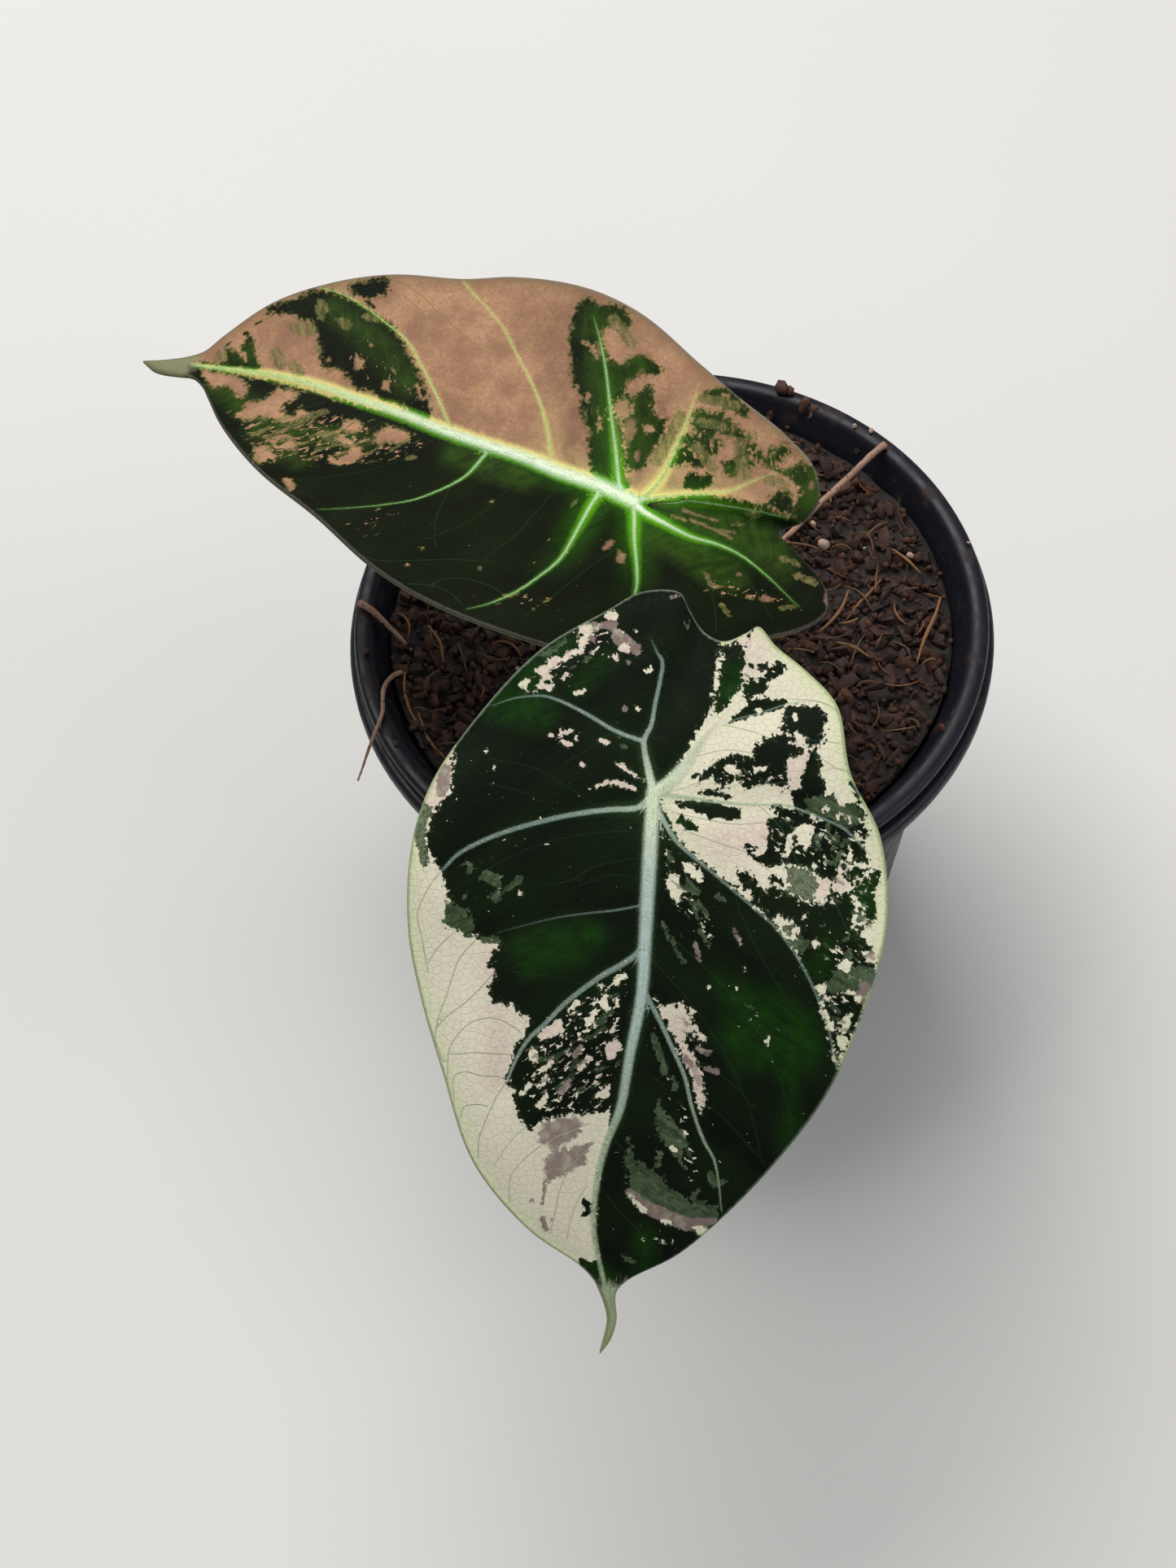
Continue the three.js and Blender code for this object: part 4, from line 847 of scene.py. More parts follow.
    ("grey", 0.5, 6, -25.8, 7.5, -26.1), ("grey", 0.35, 4, -27.3, 4.8, -27.5),
    ("grey", 0.46, 6.6, -29.7, 6.4, -30.3), ("grey", 0.35, 5.5, -28.5, 6.1, -28.8),
    ("grey", 0.42, 8.2, -29.6, 8.6, -29), ("grey", 0.5, 9.6, -27.5, 9.7, -28.7),
    ("pale", 0.35, 10.3, -25.3, 10.5, -25.7), ("pale", 0.17, 9, -26.8),
    ("grey", 0.27, 7.6, -28.2), ("pale", 0.19, 5.5, -20.2, 5.9, -20),
    ("pale", 0.29, 8.2, -31.1, 9.1, -31, 9.9, -31.6, 10, -32.4),
    ("grey", 0, 10.3, -20.2, 10.4, -21.7, 10.7, -23.7, 11.4, -25.3, 12.2, -26.3, 12.9, -26.1,
     13.9, -25.9, 15.2, -25.8, 15.9, -25.3, 15.7, -24.7, 15.3, -23.7, 15, -22.7, 14.8, -21.8,
     14.1, -21.5, 13.5, -21.9, 12.5, -21.5, 11.4, -21.2),
    ("pale", 0, 12.3, -26.3, 12.1, -27.4, 12.8, -28.6, 13.6, -28, 14.6, -27.7, 15.4, -27.2,
     16.3, -27, 16, -26.2, 15.4, -25.6, 13.9, -26.1),
    ("pale", 0, 12.5, -28.8, 11.2, -29.3, 10.3, -29.4, 10.5, -30, 11.9, -30.7, 12.6, -31.5,
     13, -31.7, 13.7, -30.6, 14.7, -30.2, 15, -29.6, 14.1, -29.2),
    ("bright", 0, 11.2, -30.2, 10.2, -31.4, 10.1, -32.9, 10.8, -33.9, 10.4, -34.7, 11, -35.5,
     12.6, -35.6, 12.9, -35, 14.8, -35, 15.9, -35.2, 17.7, -35.1, 18.6, -34.8, 18.5, -33.9,
     17.4, -33.6, 15.8, -33.6, 14.9, -33.1, 15.1, -32.3, 14.8, -31.6, 14.7, -30.4, 13.9, -30.6,
     13.6, -31.7, 12.9, -31.7, 12.1, -31.3, 11.8, -30.5), ("pale", 0.25, 11.8, -31.4, 11.6, -32),
    ("pale", 0.31, 11.7, -32.7, 11.9, -32.8), ("pale", 0.31, 11.1, -33.3, 12, -34.1),
    ("pale", 0.42, 14.8, -31.6, 15.1, -32), ("grey", 0.46, 17.1, -31.8, 17.6, -33),
    ("pale", 0.17, 17, -32.5, 17.3, -33.3), ("grey", 0.38, 16, -33.3),
    ("pale", 0, 19.3, -31.6, 18.8, -31.9, 19.7, -32.2, 20.4, -32.7, 20.6, -33.5, 21.4, -33.2,
     20.7, -31.8), ("bright", 0, 18.8, -32, 19, -32.9, 20.2, -33.4, 20.9, -32.9, 20.1, -32.1),
    ("deep", 0, 21.3, -30.3, 20.9, -31.4, 21.4, -33, 21.9, -33.8, 22.2, -34.8, 22.8, -34.8,
     22.8, -33.6, 22.5, -32.6, 22.6, -30.7), ("pale", 0.25, 18.2, -24.2, 18, -24.7),
    ("pale", 0.23, 15.9, -28.6, 16.2, -28.8), ("grey", 0.23, 19.2, -27.3, 19.5, -27.7),
    ("deep", 0, 19.8, -24.1, 19.5, -29.5, 18.9, -30.8, 20.6, -32.7, 22, -34.6, 22.9, -34.5,
     23.1, -33, 24.3, -33.9, 24.8, -35.9, 28.3, -34.9, 31.6, -33.8, 33.8, -33.1, 38, -31.6,
     39.6, -30.2, 36.9, -29.2, 33.7, -28.1, 30.2, -26.7, 28.4, -25.5, 26.3, -24.6, 23.9, -23.3,
     22.7, -22.6, 21.1, -23.3),
    ("grey", 0, 19, -22.1, 19.8, -23.3, 21.4, -24.3, 21.8, -25.2, 23.4, -25, 23.9, -24.1,
     23.5, -23.2, 22.5, -22.5, 21.1, -21.6, 20.2, -20.8),
    ("pale", 0, 20, -22.4, 19.9, -23.1, 21.2, -23.6, 22.1, -23, 21.1, -22.6),
    ("pale", 0.19, 20.2, -20.6, 21.1, -21.5, 22.4, -22.6, 23.5, -23.5),
    ("pale", 0, 21.8, -25.5, 21.4, -26.3, 22.2, -27.1, 22.8, -26.6, 22.6, -25.6),
    ("pale", 0, 22.4, -29.2, 22.1, -29.8, 22.6, -30.2, 23.2, -29.7),
    ("grey", 0.25, 21.4, -30.5, 20.9, -31.7, 21.2, -32.3), ("grey", 0.5, 23.1, -31.4, 24, -31.2),
    ("grey", 0, 28.6, -27.8, 27.2, -28.4, 25.9, -29.4, 26.2, -31.1, 25.3, -32.7, 25.9, -34.2,
     24.8, -35.8, 26.2, -35.7, 27.7, -35.1, 28.3, -34.1, 29.1, -32, 28.8, -29.9, 29.5, -28.9),
    ("pale", 0, 25, -29.4, 24.6, -30.2, 24.2, -31, 24.7, -32.1, 25.4, -31.9, 26.4, -31.3,
     26, -30.6, 25.9, -30, 25.4, -29.6),
    ("mauve", 0, 23.1, -33.9, 22.7, -34.9, 23.6, -36, 24.2, -35.8, 24.3, -34.7, 23.9, -34.1),
    ("mauve", 0, 27, -33, 27.5, -34.3, 28.3, -35, 29.6, -34.5, 31.1, -33.8, 30.5, -32.9,
     29.3, -32, 28.8, -33.3), ("pale", 0.33, 29, -31.4, 29.4, -32.5, 30.4, -33.3),
    ("pale", 0, 28.8, -26.2, 27.8, -27.6, 28.2, -28.2, 28.8, -28.1, 29.9, -27.8, 29.8, -27.3,
     29.1, -26.7), ("pale", 0, 29.1, -29.2, 29.2, -30.8, 29.6, -30.8, 29.6, -29.3),
    ("grey", 0, 29.9, -26.7, 30.1, -27.9, 30, -28.9, 30.6, -29.2, 30.9, -27.9, 30.6, -27.1),
    ("pale", 0.25, 29.8, -27.5, 30.5, -28.6),
    ("pale", 0, 30.2, -26.8, 31.1, -27.7, 32.7, -28.7, 33.6, -28.7, 33.6, -28.1, 32.4, -27.5),
    ("pale", 0, 33.7, -28.1, 33.5, -29.5, 34.8, -29.8, 35.9, -29.5, 35.1, -29, 34.8, -28.4),
    ("pale", 0, 33.7, -30.3, 32.8, -31.2, 33.2, -32, 34.4, -32.3, 34.9, -31.4, 35.7, -31.2,
     36.1, -32, 38, -31.2, 37.5, -30, 36, -30, 35.5, -30.8, 34.9, -30.8),
    ("pale", 0.25, 39, -30), ("pale", 0.19, 36.3, -29, 38.1, -29.6, 39.4, -29.7),
    ("pale", 0.27, 32.5, -31.8, 32.2, -32.4),
    ("pale", 0, 19.1, -32.9, 18.7, -33.9, 18.5, -35.1, 18, -35.3, 18, -36.6, 20, -36.7,
     22.9, -36.5, 24, -35.8, 22.8, -34.9, 22, -34.6, 21.6, -33.8, 20.4, -33.3),
    # Between the right vein and the midrib
    ("pale", 0, 10.4, -5, 10.7, -6.4, 11.5, -7.4, 12.1, -8.4, 13.6, -8.5, 13.3, -7.4, 12.3, -6.1,
     11.6, -5.2), ("grey", 0, 12.6, -5.6, 14, -7, 14.6, -8.6, 16, -7.6, 14.6, -5.6),
    ("pale", 0, 11.8, -3.2, 13, -4.5, 15.1, -5.2, 17.1, -4.9, 16.9, -4.2, 14.4, -2.6),
    ("grey", 0.35, 16.6, -6.3, 16.9, -7.7, 18.6, -9.4), ("grey", 0.35, 17.5, -7.2, 18.9, -7.8),
    ("grey", 0.4, 15.6, -10.8, 16.4, -11.8), ("mauve", 0.32, 20.7, -13.7, 22.5, -14.7),
    ("mauve", 0.4, 23.1, -7.5, 25.5, -8.5), ("grey", 0.32, 20.8, -8.2, 23.3, -9.8),
    ("grey", 0.35, 24.3, -4.5, 26, -6), ("pale", 0.3, 26.5, -15.5), ("pale", 0.28, 34.2, -16.7),
    ("pale", 0.28, 36.8, -19.6, 37.8, -19.5), ("pale", 0.28, 29.7, -10),
    ("pale", 0.28, 29.7, -14.3), ("grey", 0.3, 20, -2.4, 22, -3.2, 23, -4.2),
    ("grey", 0.3, 9, -2.4, 10.4, -3.4),
    # Round the third right vein
    ("pale", 0, 32, -1.4, 33.4, -3, 32.4, -4.4, 33.4, -4.9, 32.4, -5.9, 33.4, -6.6, 35.5, -7.6,
     36.9, -8.9, 38.2, -9.8, 38.7, -8.9, 37.6, -8.4, 37, -7.1, 37.7, -6.4, 39.5, -7.2, 40.8, -8,
     42.2, -8.7, 44, -9.5, 47.6, -9.8, 49.6, -9.9, 49.2, -9, 46, -8.4, 43.4, -7.4, 42.4, -7,
     40.6, -6.2, 37.8, -5, 35, -3.2), ("pale", 0, 33.4, -6.8, 33, -7.8, 33.9, -8.2, 34.3, -7.5),
    ("mauve", 0.4, 39.4, -8.6, 40, -10.4), ("mauve", 0.45, 42.5, -10.2, 42.9, -11.8),
    ("mauve", 0.5, 41, -6.6, 43, -8.4, 45, -9), ("grey", 0.5, 38, -1.6, 40.6, -2.6, 43.6, -3.6),
    ("grey", 0.35, 44.4, -5, 46, -5.4),
    ("grey", 0, 47.8, -2.6, 50, -3.8, 51.8, -5.8, 53.6, -7.4, 55.2, -7.7, 57, -6.5, 58.6, -7.4,
     57.4, -6, 56, -5.2, 54.4, -3.6, 52.6, -2.5, 50, -2.2),
    ("pale", 0.35, 55.4, -5.1, 56.2, -5.6), ("grey", 0.4, 56.4, -3.2, 58.6, -3),
    ("mauve", 0, 62, 1.6, 64, -1, 65.3, -4, 66.8, -8, 66.8, -12.6, 67.6, -12.4, 68.9, -9.6,
     69, -7, 67.7, -4.4, 66.5, -1, 64.7, 0.8, 63.3, 1.7),
    ("grey", 0, 54, 2, 57.6, 0.6, 60, -3.4, 62.2, -5.2, 64, -8.4, 64.6, -12.4, 66.8, -13, 67, -8,
     65.6, -4, 64.2, -1, 62, 1.6, 58, 2.2),
    ("grey", 0, 57.4, 1.6, 61, 0.6, 62, -3, 63.8, -4.6, 65.6, -8, 66.4, -12.2, 68, -10, 67.6, -6,
     66, -2.6, 64, 0.4), ("pale", 0.4, 63.6, 1.2, 64.8, 0, 66.1, -1),
    ("pale", 0.4, 67.4, -4, 67.9, -5.2),
    ("pale", 0, 68.2, -8.8, 68, -10.6, 69, -12, 70.4, -11.6, 69.6, -9.6),
    ("grey", 0.5, 59.4, -11.4, 61, -12, 60.6, -13.6), ("grey", 0.4, 62, -9.4, 64, -8.6),
    ("pale", 0.3, 70.8, -3.2, 71.4, -4.6), ("grey", 0.35, 74, 2.2, 74.8, 0.4),
    ("bright", 0.4, 74.8, -0.4, 76, -1.2), ("grey", 0.4, 60, -20.4, 58.6, -20.6),
    ("deep", 0.5, 66.4, 7.4, 64.6, 8.4), ("deep", 0.9, 75, 8.4, 77.4, 5.6),
]
# Soft changes of tone, written in the same way.
FRONT_LEAF["moods"] = [
    ("bright", 0, 20.5, 9, 22, 16, 23, 19, 25, 21, 29, 19, 28, 14, 26, 9, 22.5, 6),
    ("bright", 3, -12, 19, -13.4, 25), ("bright", 1.4, -16, 20, -19, 20, -23, 15),
    ("bright", 0.8, -16, 13, -21, 8), ("bright", 2, -15, -11, -19, -12),
    ("bright", 0, 28, -11, 32, -13, 38, -12, 42, -15, 42, -20, 44, -23, 54, -22, 52, -24.6,
     44, -24.4, 38, -28, 33, -26, 30, -22, 29, -15), ("bright", 1.4, 70.6, -1, 75, -2),
    ("bright", 1.2, 75.5, 8, 77.5, 5), ("bright", 1.6, 12, -32, 16, -34),
    ("bright", 1, 22, -28, 26, -27),
    ("speckle", 0, 26, 2.6, 37, 3, 49.5, 5, 51, 12, 52, 17, 44, 19, 38, 16.5, 31, 9),
    ("speckle", 2, -17, 19, -22, 12, -26, 9), ("speckle", 1.2, 13, 26, 16, 23),
    ("speckle", 1, -8, 16, -8, 12), ("speckle", 0.8, 13, -5, 19, -9, 23, -9),
    ("speckle", 1, -18, -14, -20, -19), ("speckle", 1.2, -3.6, -8, -3, -12),
    ("speckle", 1.8, 36, -7, 48, -9.6), ("speckle", 2.4, 5, -26, 8, -31),
    ("speckle", 1.6, 20, -31, 18, -33.6), ("speckle", 2, 34, -31, 38, -30),
    ("speckle", 1.4, 2, -22, 8, -17), ("speckle", 1.2, 44, -4, 56, -8, 62, -9),
    ("speckle", 0.8, 70.6, -1, 71, -6), ("speckle", 1.4, 1, -30, 6, -33.4),
    ("speckle", 1.6, -2.4, -8.6, -3.9, -14, -2.7, -19.5),
    ("speckle", 1.8, 7.6, -15.9, 7.4, -21.3, 6.4, -28.7),
    ("speckle", 1.8, 9.9, -26.2, 11, -31.6, 16.3, -33.2),
    ("speckle", 1.2, 14.3, -18.2, 15.4, -22.3, 15.1, -29.1),
    ("speckle", 2.2, 21.9, -28, 25.7, -31.6, 32.5, -29.2, 37.1, -30.7),
    ("speckle", 1.8, 7.5, -3, 10.8, -3.4, 16.1, -5.3, 21.5, -9.6),
    ("speckle", 0.8, 29.5, -13.4, 33.4, -16.6, 35.9, -19.8),
    ("speckle", 1.4, -18.6, -14.7, -19.4, -18.1), ("blush", 4, -26, 10, -23, 6, -19, 16),
    ("blush", 4, -8, 14, -3, 5), ("blush", 3, 38, 14, 44, 10, 40, 5),
    ("blush", 2.5, 36, -6, 46, -9), ("blush", 1.6, 26, 24.5, 33, 23, 46, 22.6),
    ("blush", 2, 3, 34.5, -4, 33), ("blush", 2.5, 7, -12, 6, -17),
    ("blush", 2, -6, -22.6, -3, -21.6), ("blush", 2, -22, -15, -24, -14),
    ("blush", 1.5, 13.4, -27, 12, -30),
]
# fringe, fringe_pale and glow are painted light shining through the blade beside the veins.
FRONT_TINTS = {
    "deep": "#080f06", "deep_light": "#101c0a", "bright": "#153708", "pale": "#dedabf",
    "pale_cool": "#cdd6a8", "blush": "#cfb8ae", "grey": "#33422a", "grey_light": "#57664b",
    "mauve": "#7f6e67", "vein": "#75897f", "midrib": "#adbfb6", "pale_vein": "#abb996",
    "home_vein": "#d3dec0", "fine_pale": "#a3a886", "fine_deep": "#2a452b",
    "edge_deep": "#6c7867", "edge_pale": "#8d9c6c", "tip": "#858c5e", "tip_light": "#abb996",
    "under": "#7d8f62", "fringe": "#2f4a24", "fringe_pale": "#c6d0a2", "glow": "#1a2f12",
    "lace": "#8d9a72",
}
# How the skin behaves: the blur and raggedness of borders, how far out the veins stay pale,
# their fringe and glow, which are painted light shining through the blade, how strong each
# kind of mottling is, and how dull the midrib ends.
FRONT_FEEL = {
    "blur": 0.06, "rag": 3.8, "home": 20, "fringe": 0.4, "fringe_reach": 0.7, "glow": 0.3,
    "soft": 0.6, "lace": 0.2, "mottle": 0.22, "cloud": 0.1, "mist": 0.6, "rim": 0.12,
    "dusk": 0.6,
}
SHEET = 0.7
LOBE_COLUMNS = 84
SIDE_COLUMNS = 142
TIP_COLUMNS = 22
TOP_ROWS = 100
EDGE_ROWS = 6
UNDER_ROWS = 58
EDGE_BAND = 1.3
EDGE_PACKING = 1.4
# The edge waves and the curl grow to their full height so far out. The crease at the notch
# starts so far behind the junction, deepens over so much, and is so wide.
WAVE_FULL, CURL_FULL = 40, 38
CREASE_START, CREASE_RUN, CREASE_WIDTH = 6, 18, 3.5
# Across the sheet: how far in its edge is rounded, the bead along it, the vein's rise above,
# the rib's height lost in the sheet and its most, and the hub under the junction.
EDGE_ROUND = 0.45
BEAD, BEAD_WIDTH = 0.12, 0.8
VEIN_RISE = 0.3
RIB_SUNK, RIB_MOST = 0.75, 3
HUB, HUB_WIDTH = 1.5, 2.6
# The swell between veins, and how near the edge it fades; how near the junction folds fade.
QUILT_REACH, QUILT_FADE, FOLD_FADE = 3.2, 5, 10
# Where the blade starts to turn into its round tail tip, over what length, and how thick.
TIP_EARLY, TIP_BLEND, TIP_THICK = 2, 5, 1.6
# How far a patch is known inwards and outwards. A firm one is deepened, so that its ragged
# border can't swallow it: to how deep, and by how many times at most.
DEEPEST = 3.0
STURDY, DEEPENED = 1.9, 1.9
FIRM = ("pale", "grey", "mauve")
SOFT = ("bright", "speckle", "blush")
# Which later tints lie over each firm one.
COVERED_BY = {
    "pale": ("deep", "bright"), "grey": ("deep", "bright", "pale"),
    "mauve": ("deep", "bright", "pale"),
}


def laid(leaf, a, b):
    """Where flat points of a leaf lie in the air, and which way its upper face looks there."""
    heading, slope = math.radians(leaf["heading"]), math.radians(leaf["slope"])
    bend = math.radians(leaf["bend"]) / 100
    level = np.array((math.cos(heading), math.sin(heading), 0))
    up = np.array((0, 0, 1))
    forward = level * math.cos(slope) - up * math.sin(slope)
    above = level * math.sin(slope) + up * math.cos(slope)
    across = np.cross(forward, above)
    notch = math.atan2(leaf["notch"][1], leaf["notch"][0])

    def height(a, b):
        reach, angle = np.hypot(a, b), np.arctan2(b, a)
        cup, soft = math.tan(math.radians(leaf["cup"])), leaf["soft"]
        halves = cup * (np.hypot(b, soft) - soft)
        outward = (np.minimum(reach, WAVE_FULL) / WAVE_FULL) ** 2
        wave = leaf["wave"] * outward * np.sin(leaf["waves"] * angle)
        aside, behind = reach * np.sin(angle - notch), reach * np.cos(angle - notch)
        share = np.clip((behind - CREASE_START) / CREASE_RUN, 0, 1)
        fold = np.exp(-((aside / CREASE_WIDTH) ** 2))
        crease = leaf["crease"] * share ** 2 * (3 - 2 * share) * fold
        return halves - leaf["curl"] * (b / CURL_FULL) ** 4 + wave - crease

    def point(a, b):
        turn = (bend * a)[:, None]
        normal = above * np.cos(turn) + forward * np.sin(turn)
        middle = forward * np.sin(turn) / bend + above * (np.cos(turn) - 1) / bend
        return leaf["junction"] + middle + across * b[:, None] + normal * height(a, b)[:, None]

    along = point(a + 0.5, b) - point(a - 0.5, b)
    aside = point(a, b + 0.5) - point(a, b - 0.5)
    facing = np.cross(aside, along)
    return point(a, b), facing / np.linalg.norm(facing, axis=1)[:, None]


def nearest(flat, lines, by_width=False):
    """The way from each flat point to the nearest of some lines, and what it carries there.
    By width, a line's first carried value is its half width, and its border counts."""
    count = len(lines[0][1])
    far = np.full(len(flat), 1e9)
    least = far.copy()
    way = np.zeros((len(flat), 2))
    carried = np.zeros((len(flat), count))
    for points, runs in lines:
        line = smooth_line(points, pieces=4)
        share = np.linspace(0, 1, len(line))
        marks = np.stack([np.interp(share, np.linspace(0, 1, len(run)), run) for run in runs], 1)
        for start, end, first, last in zip(line, line[1:], marks, marks[1:]):
            run = end - start
            t = np.clip(((flat - start) @ run) / max(run @ run, 1e-9), 0, 1)
            off = start + t[:, None] * run - flat
            distance = np.hypot(off[:, 0], off[:, 1])
            brought = first + t[:, None] * (last - first)
            gap = distance - brought[:, 0] if by_width else distance
            better = gap < least
            least[better], far[better] = gap[better], distance[better]
            way[better], carried[better] = off[better], brought[better]
    return way, far, carried


def depth_in(flat, width, points):
    """How deep in a patch each flat point lies, in millimetres: below 0 it is outside."""
    if width and len(points) == 1:
        return width - np.hypot(*(flat - points[0]).T)
    if width:
        return width - nearest(flat, [(points, [[0, 0]])])[1]
    corners = np.array(points, float)
    far = np.full(len(flat), 1e9)
    inside = np.zeros(len(flat), bool)
    for start, end in zip(corners, np.roll(corners, -1, axis=0)):
        run = end - start
        t = np.clip(((flat - start) @ run) / max(run @ run, 1e-9), 0, 1)
        off = start + t[:, None] * run - flat
        far = np.minimum(far, np.hypot(off[:, 0], off[:, 1]))
        if start[1] != end[1]:
            passes = (start[1] > flat[:, 1]) != (end[1] > flat[:, 1])
            cross = start[0] + (flat[:, 1] - start[1]) / run[1] * run[0]
            inside ^= passes & (flat[:, 0] < cross)
    return np.where(inside, far, -far)


def painted(flat, patches, names):
    """How deep each flat point lies in each tint once the patches lie over one another."""
    depths = {name: np.full(len(flat), -DEEPEST) for name in names}
    for tint, width, *points in patches:
        points = np.reshape(points, (-1, 2))
        low = np.min(points, axis=0) - width - DEEPEST
        high = np.max(points, axis=0) + width + DEEPEST
        near = np.all((flat > low) & (flat < high), axis=1)
        depth = depth_in(flat[near], width, points)
        if tint not in SOFT:
            depth = depth * np.clip(STURDY / depth.max(initial=0.1), 1, DEEPENED)
        depth = np.clip(depth, -DEEPEST, DEEPEST)
        for name in names:
            if name == tint:
                depths[name][near] = np.maximum(depths[name][near], depth)
            elif tint in COVERED_BY.get(name, ()):
                depths[name][near] = np.minimum(depths[name][near], -depth)
    return np.stack([depths[name] for name in names], 1)


def blade(name, leaf):
    """The blade as one closed sheet, with its veins and patches kept on its points."""
    edge = smooth_line(leaf["outline"], closed=True)
    cuts = [LINE_STEPS * i for i in (0, *leaf["marks"], len(leaf["outline"]))]
    counts = [LOBE_COLUMNS, SIDE_COLUMNS, TIP_COLUMNS, TIP_COLUMNS, SIDE_COLUMNS, LOBE_COLUMNS]
    outer = [evenly(edge[i:j + 1], n)[:-1] for i, j, n in zip(cuts, cuts[1:], counts)]
    outer = np.vstack([*outer, edge[-1:]])
    spine = smooth_line(leaf["spine"])
    root = LINE_STEPS * leaf["tip_start"]
    half = np.vstack([
        np.zeros((LOBE_COLUMNS, 2)), evenly(spine[:root + 1], SIDE_COLUMNS)[:-1],
        evenly(spine[root:], TIP_COLUMNS)])
    inner = np.vstack([half, half[-2::-1]])
    reach = np.linalg.norm(outer - inner, axis=1)

    columns, rows = len(outer) - 1, TOP_ROWS + 2 * EDGE_ROWS + UNDER_ROWS
    bm = bmesh.new()
    bmesh.ops.create_grid(bm, x_segments=columns, y_segments=rows, size=1)
    mesh = bpy.data.meshes.new(name)
    bm.to_mesh(mesh)
    spots = np.zeros(len(mesh.vertices) * 3, np.float32)
    mesh.vertices.foreach_get("co", spots)
    spots = spots.reshape(-1, 3)
    column = np.rint((spots[:, 0] + 1) / 2 * columns).astype(int)
    row = np.rint((spots[:, 1] + 1) / 2 * rows).astype(int)

    band = np.minimum(EDGE_BAND, 0.5 * reach)[column]
    over = row <= TOP_ROWS + EDGE_ROWS
    rest = np.where(over, row, rows - row)
    inner_rows = np.where(over, TOP_ROWS, UNDER_ROWS)
    share = np.minimum(rest / inner_rows, 1)
    beyond = np.clip((rest - inner_rows) / EDGE_ROWS, 0, 1)
    from_edge = np.where(
        rest <= inner_rows, reach[column] - share * (reach[column] - band),
        band * (1 - beyond) ** EDGE_PACKING)
    along = 1 - from_edge / reach[column]
    flat = inner[column] + along[:, None] * (outer - inner)[column]
    side = np.where(over, 1.0, -1.0)
    side[row == TOP_ROWS + EDGE_ROWS] = 0

    lines = [(points, [widths, strengths, ribs])
             for widths, strengths, ribs, points in leaf["veins"]]
    way, far, carried = nearest(flat, lines, by_width=True)
    width, strength, rib = carried.T
    fine_way, fine_far, fine_carried = nearest(flat, [
        (np.reshape(points, (-1, 2)), [[strength] * 2]) for strength, *points in leaf["fine"]])

    face, normal = laid(leaf, flat[:, 0], flat[:, 1])
    round_off = np.sqrt(1 - (1 - np.clip(from_edge / EDGE_ROUND, 0, 1)) ** 2)
    thick = SHEET / 2 + BEAD * np.exp(-((from_edge / BEAD_WIDTH) ** 2))
    away = 1 - np.exp(-((far / QUILT_REACH) ** 2))
    quilt = leaf["quilt"] * away * np.clip(from_edge / QUILT_FADE, 0, 1)
    crown = np.clip(1 - (far / (1.25 * width + 1e-6)) ** 2, 0, 1)
    ridge = VEIN_RISE * np.clip(width, 0, 1) * crown
    keel = np.clip(1 - (far / (1.2 * rib + 0.2)) ** 2, 0, 1)
    drop = np.clip(2 * rib - RIB_SUNK - SHEET / 2, 0, RIB_MOST) * keel
    span = np.hypot(*flat.T)
    hub = HUB * np.exp(-((span / HUB_WIDTH) ** 2))
    proud = np.where(side >= 0, thick + ridge, thick + np.maximum(drop, hub)) * round_off
    tip = leaf["outline"][leaf["marks"][1]][0]
    tipness = np.clip((flat[:, 0] - tip + TIP_EARLY) / TIP_BLEND, 0, 1)
    arch = np.sqrt(np.clip(1 - along ** 2, 0, 1))
    rounded = np.minimum(reach[column], TIP_THICK) * leaf["tip_round"] * arch
    proud = proud * (1 - tipness) + rounded * tipness
    for line, high, spread in leaf["bumps"]:
        off = nearest(flat, [(line, [[0, 0]])])[1]
        fold = high * np.exp(-((off / spread) ** 2))
        quilt = quilt + fold * np.clip(span / FOLD_FADE, 0, 1)
    xyz = face + normal * (quilt * (1 - tipness) + side * proud)[:, None]
    mesh.vertices.foreach_set("co", (xyz * MM).astype(np.float32).ravel())

    zones = painted(flat, leaf["patches"], FIRM)
    greens = [patch for patch in leaf["patches"] if patch[0] == "bright"]
    moods = painted(flat, greens + leaf["moods"], SOFT)
    kept = {
        "flat": (flat[:, 0], flat[:, 1], side),
        "vein_way": (way[:, 0], way[:, 1], far),
        "vein_make": (width, strength, from_edge),
        "fine_way": (fine_way[:, 0], fine_way[:, 1], fine_far),
        "fine_make": (fine_carried[:, 0], tipness, np.zeros(len(flat))),
        "zones": zones.T, "moods": moods.T,
    }
    for key, values in kept.items():
        layer = mesh.attributes.new(key, "FLOAT_VECTOR", "POINT")
        layer.data.foreach_set("vector", np.stack(values, 1).astype(np.float32).ravel())
    bm.clear()
    bm.from_mesh(mesh)
    bmesh.ops.remove_doubles(bm, verts=bm.verts, dist=SEAM)
    bmesh.ops.recalc_face_normals(bm, faces=bm.faces)
    bm.to_mesh(mesh)
    bm.free()
    return mesh


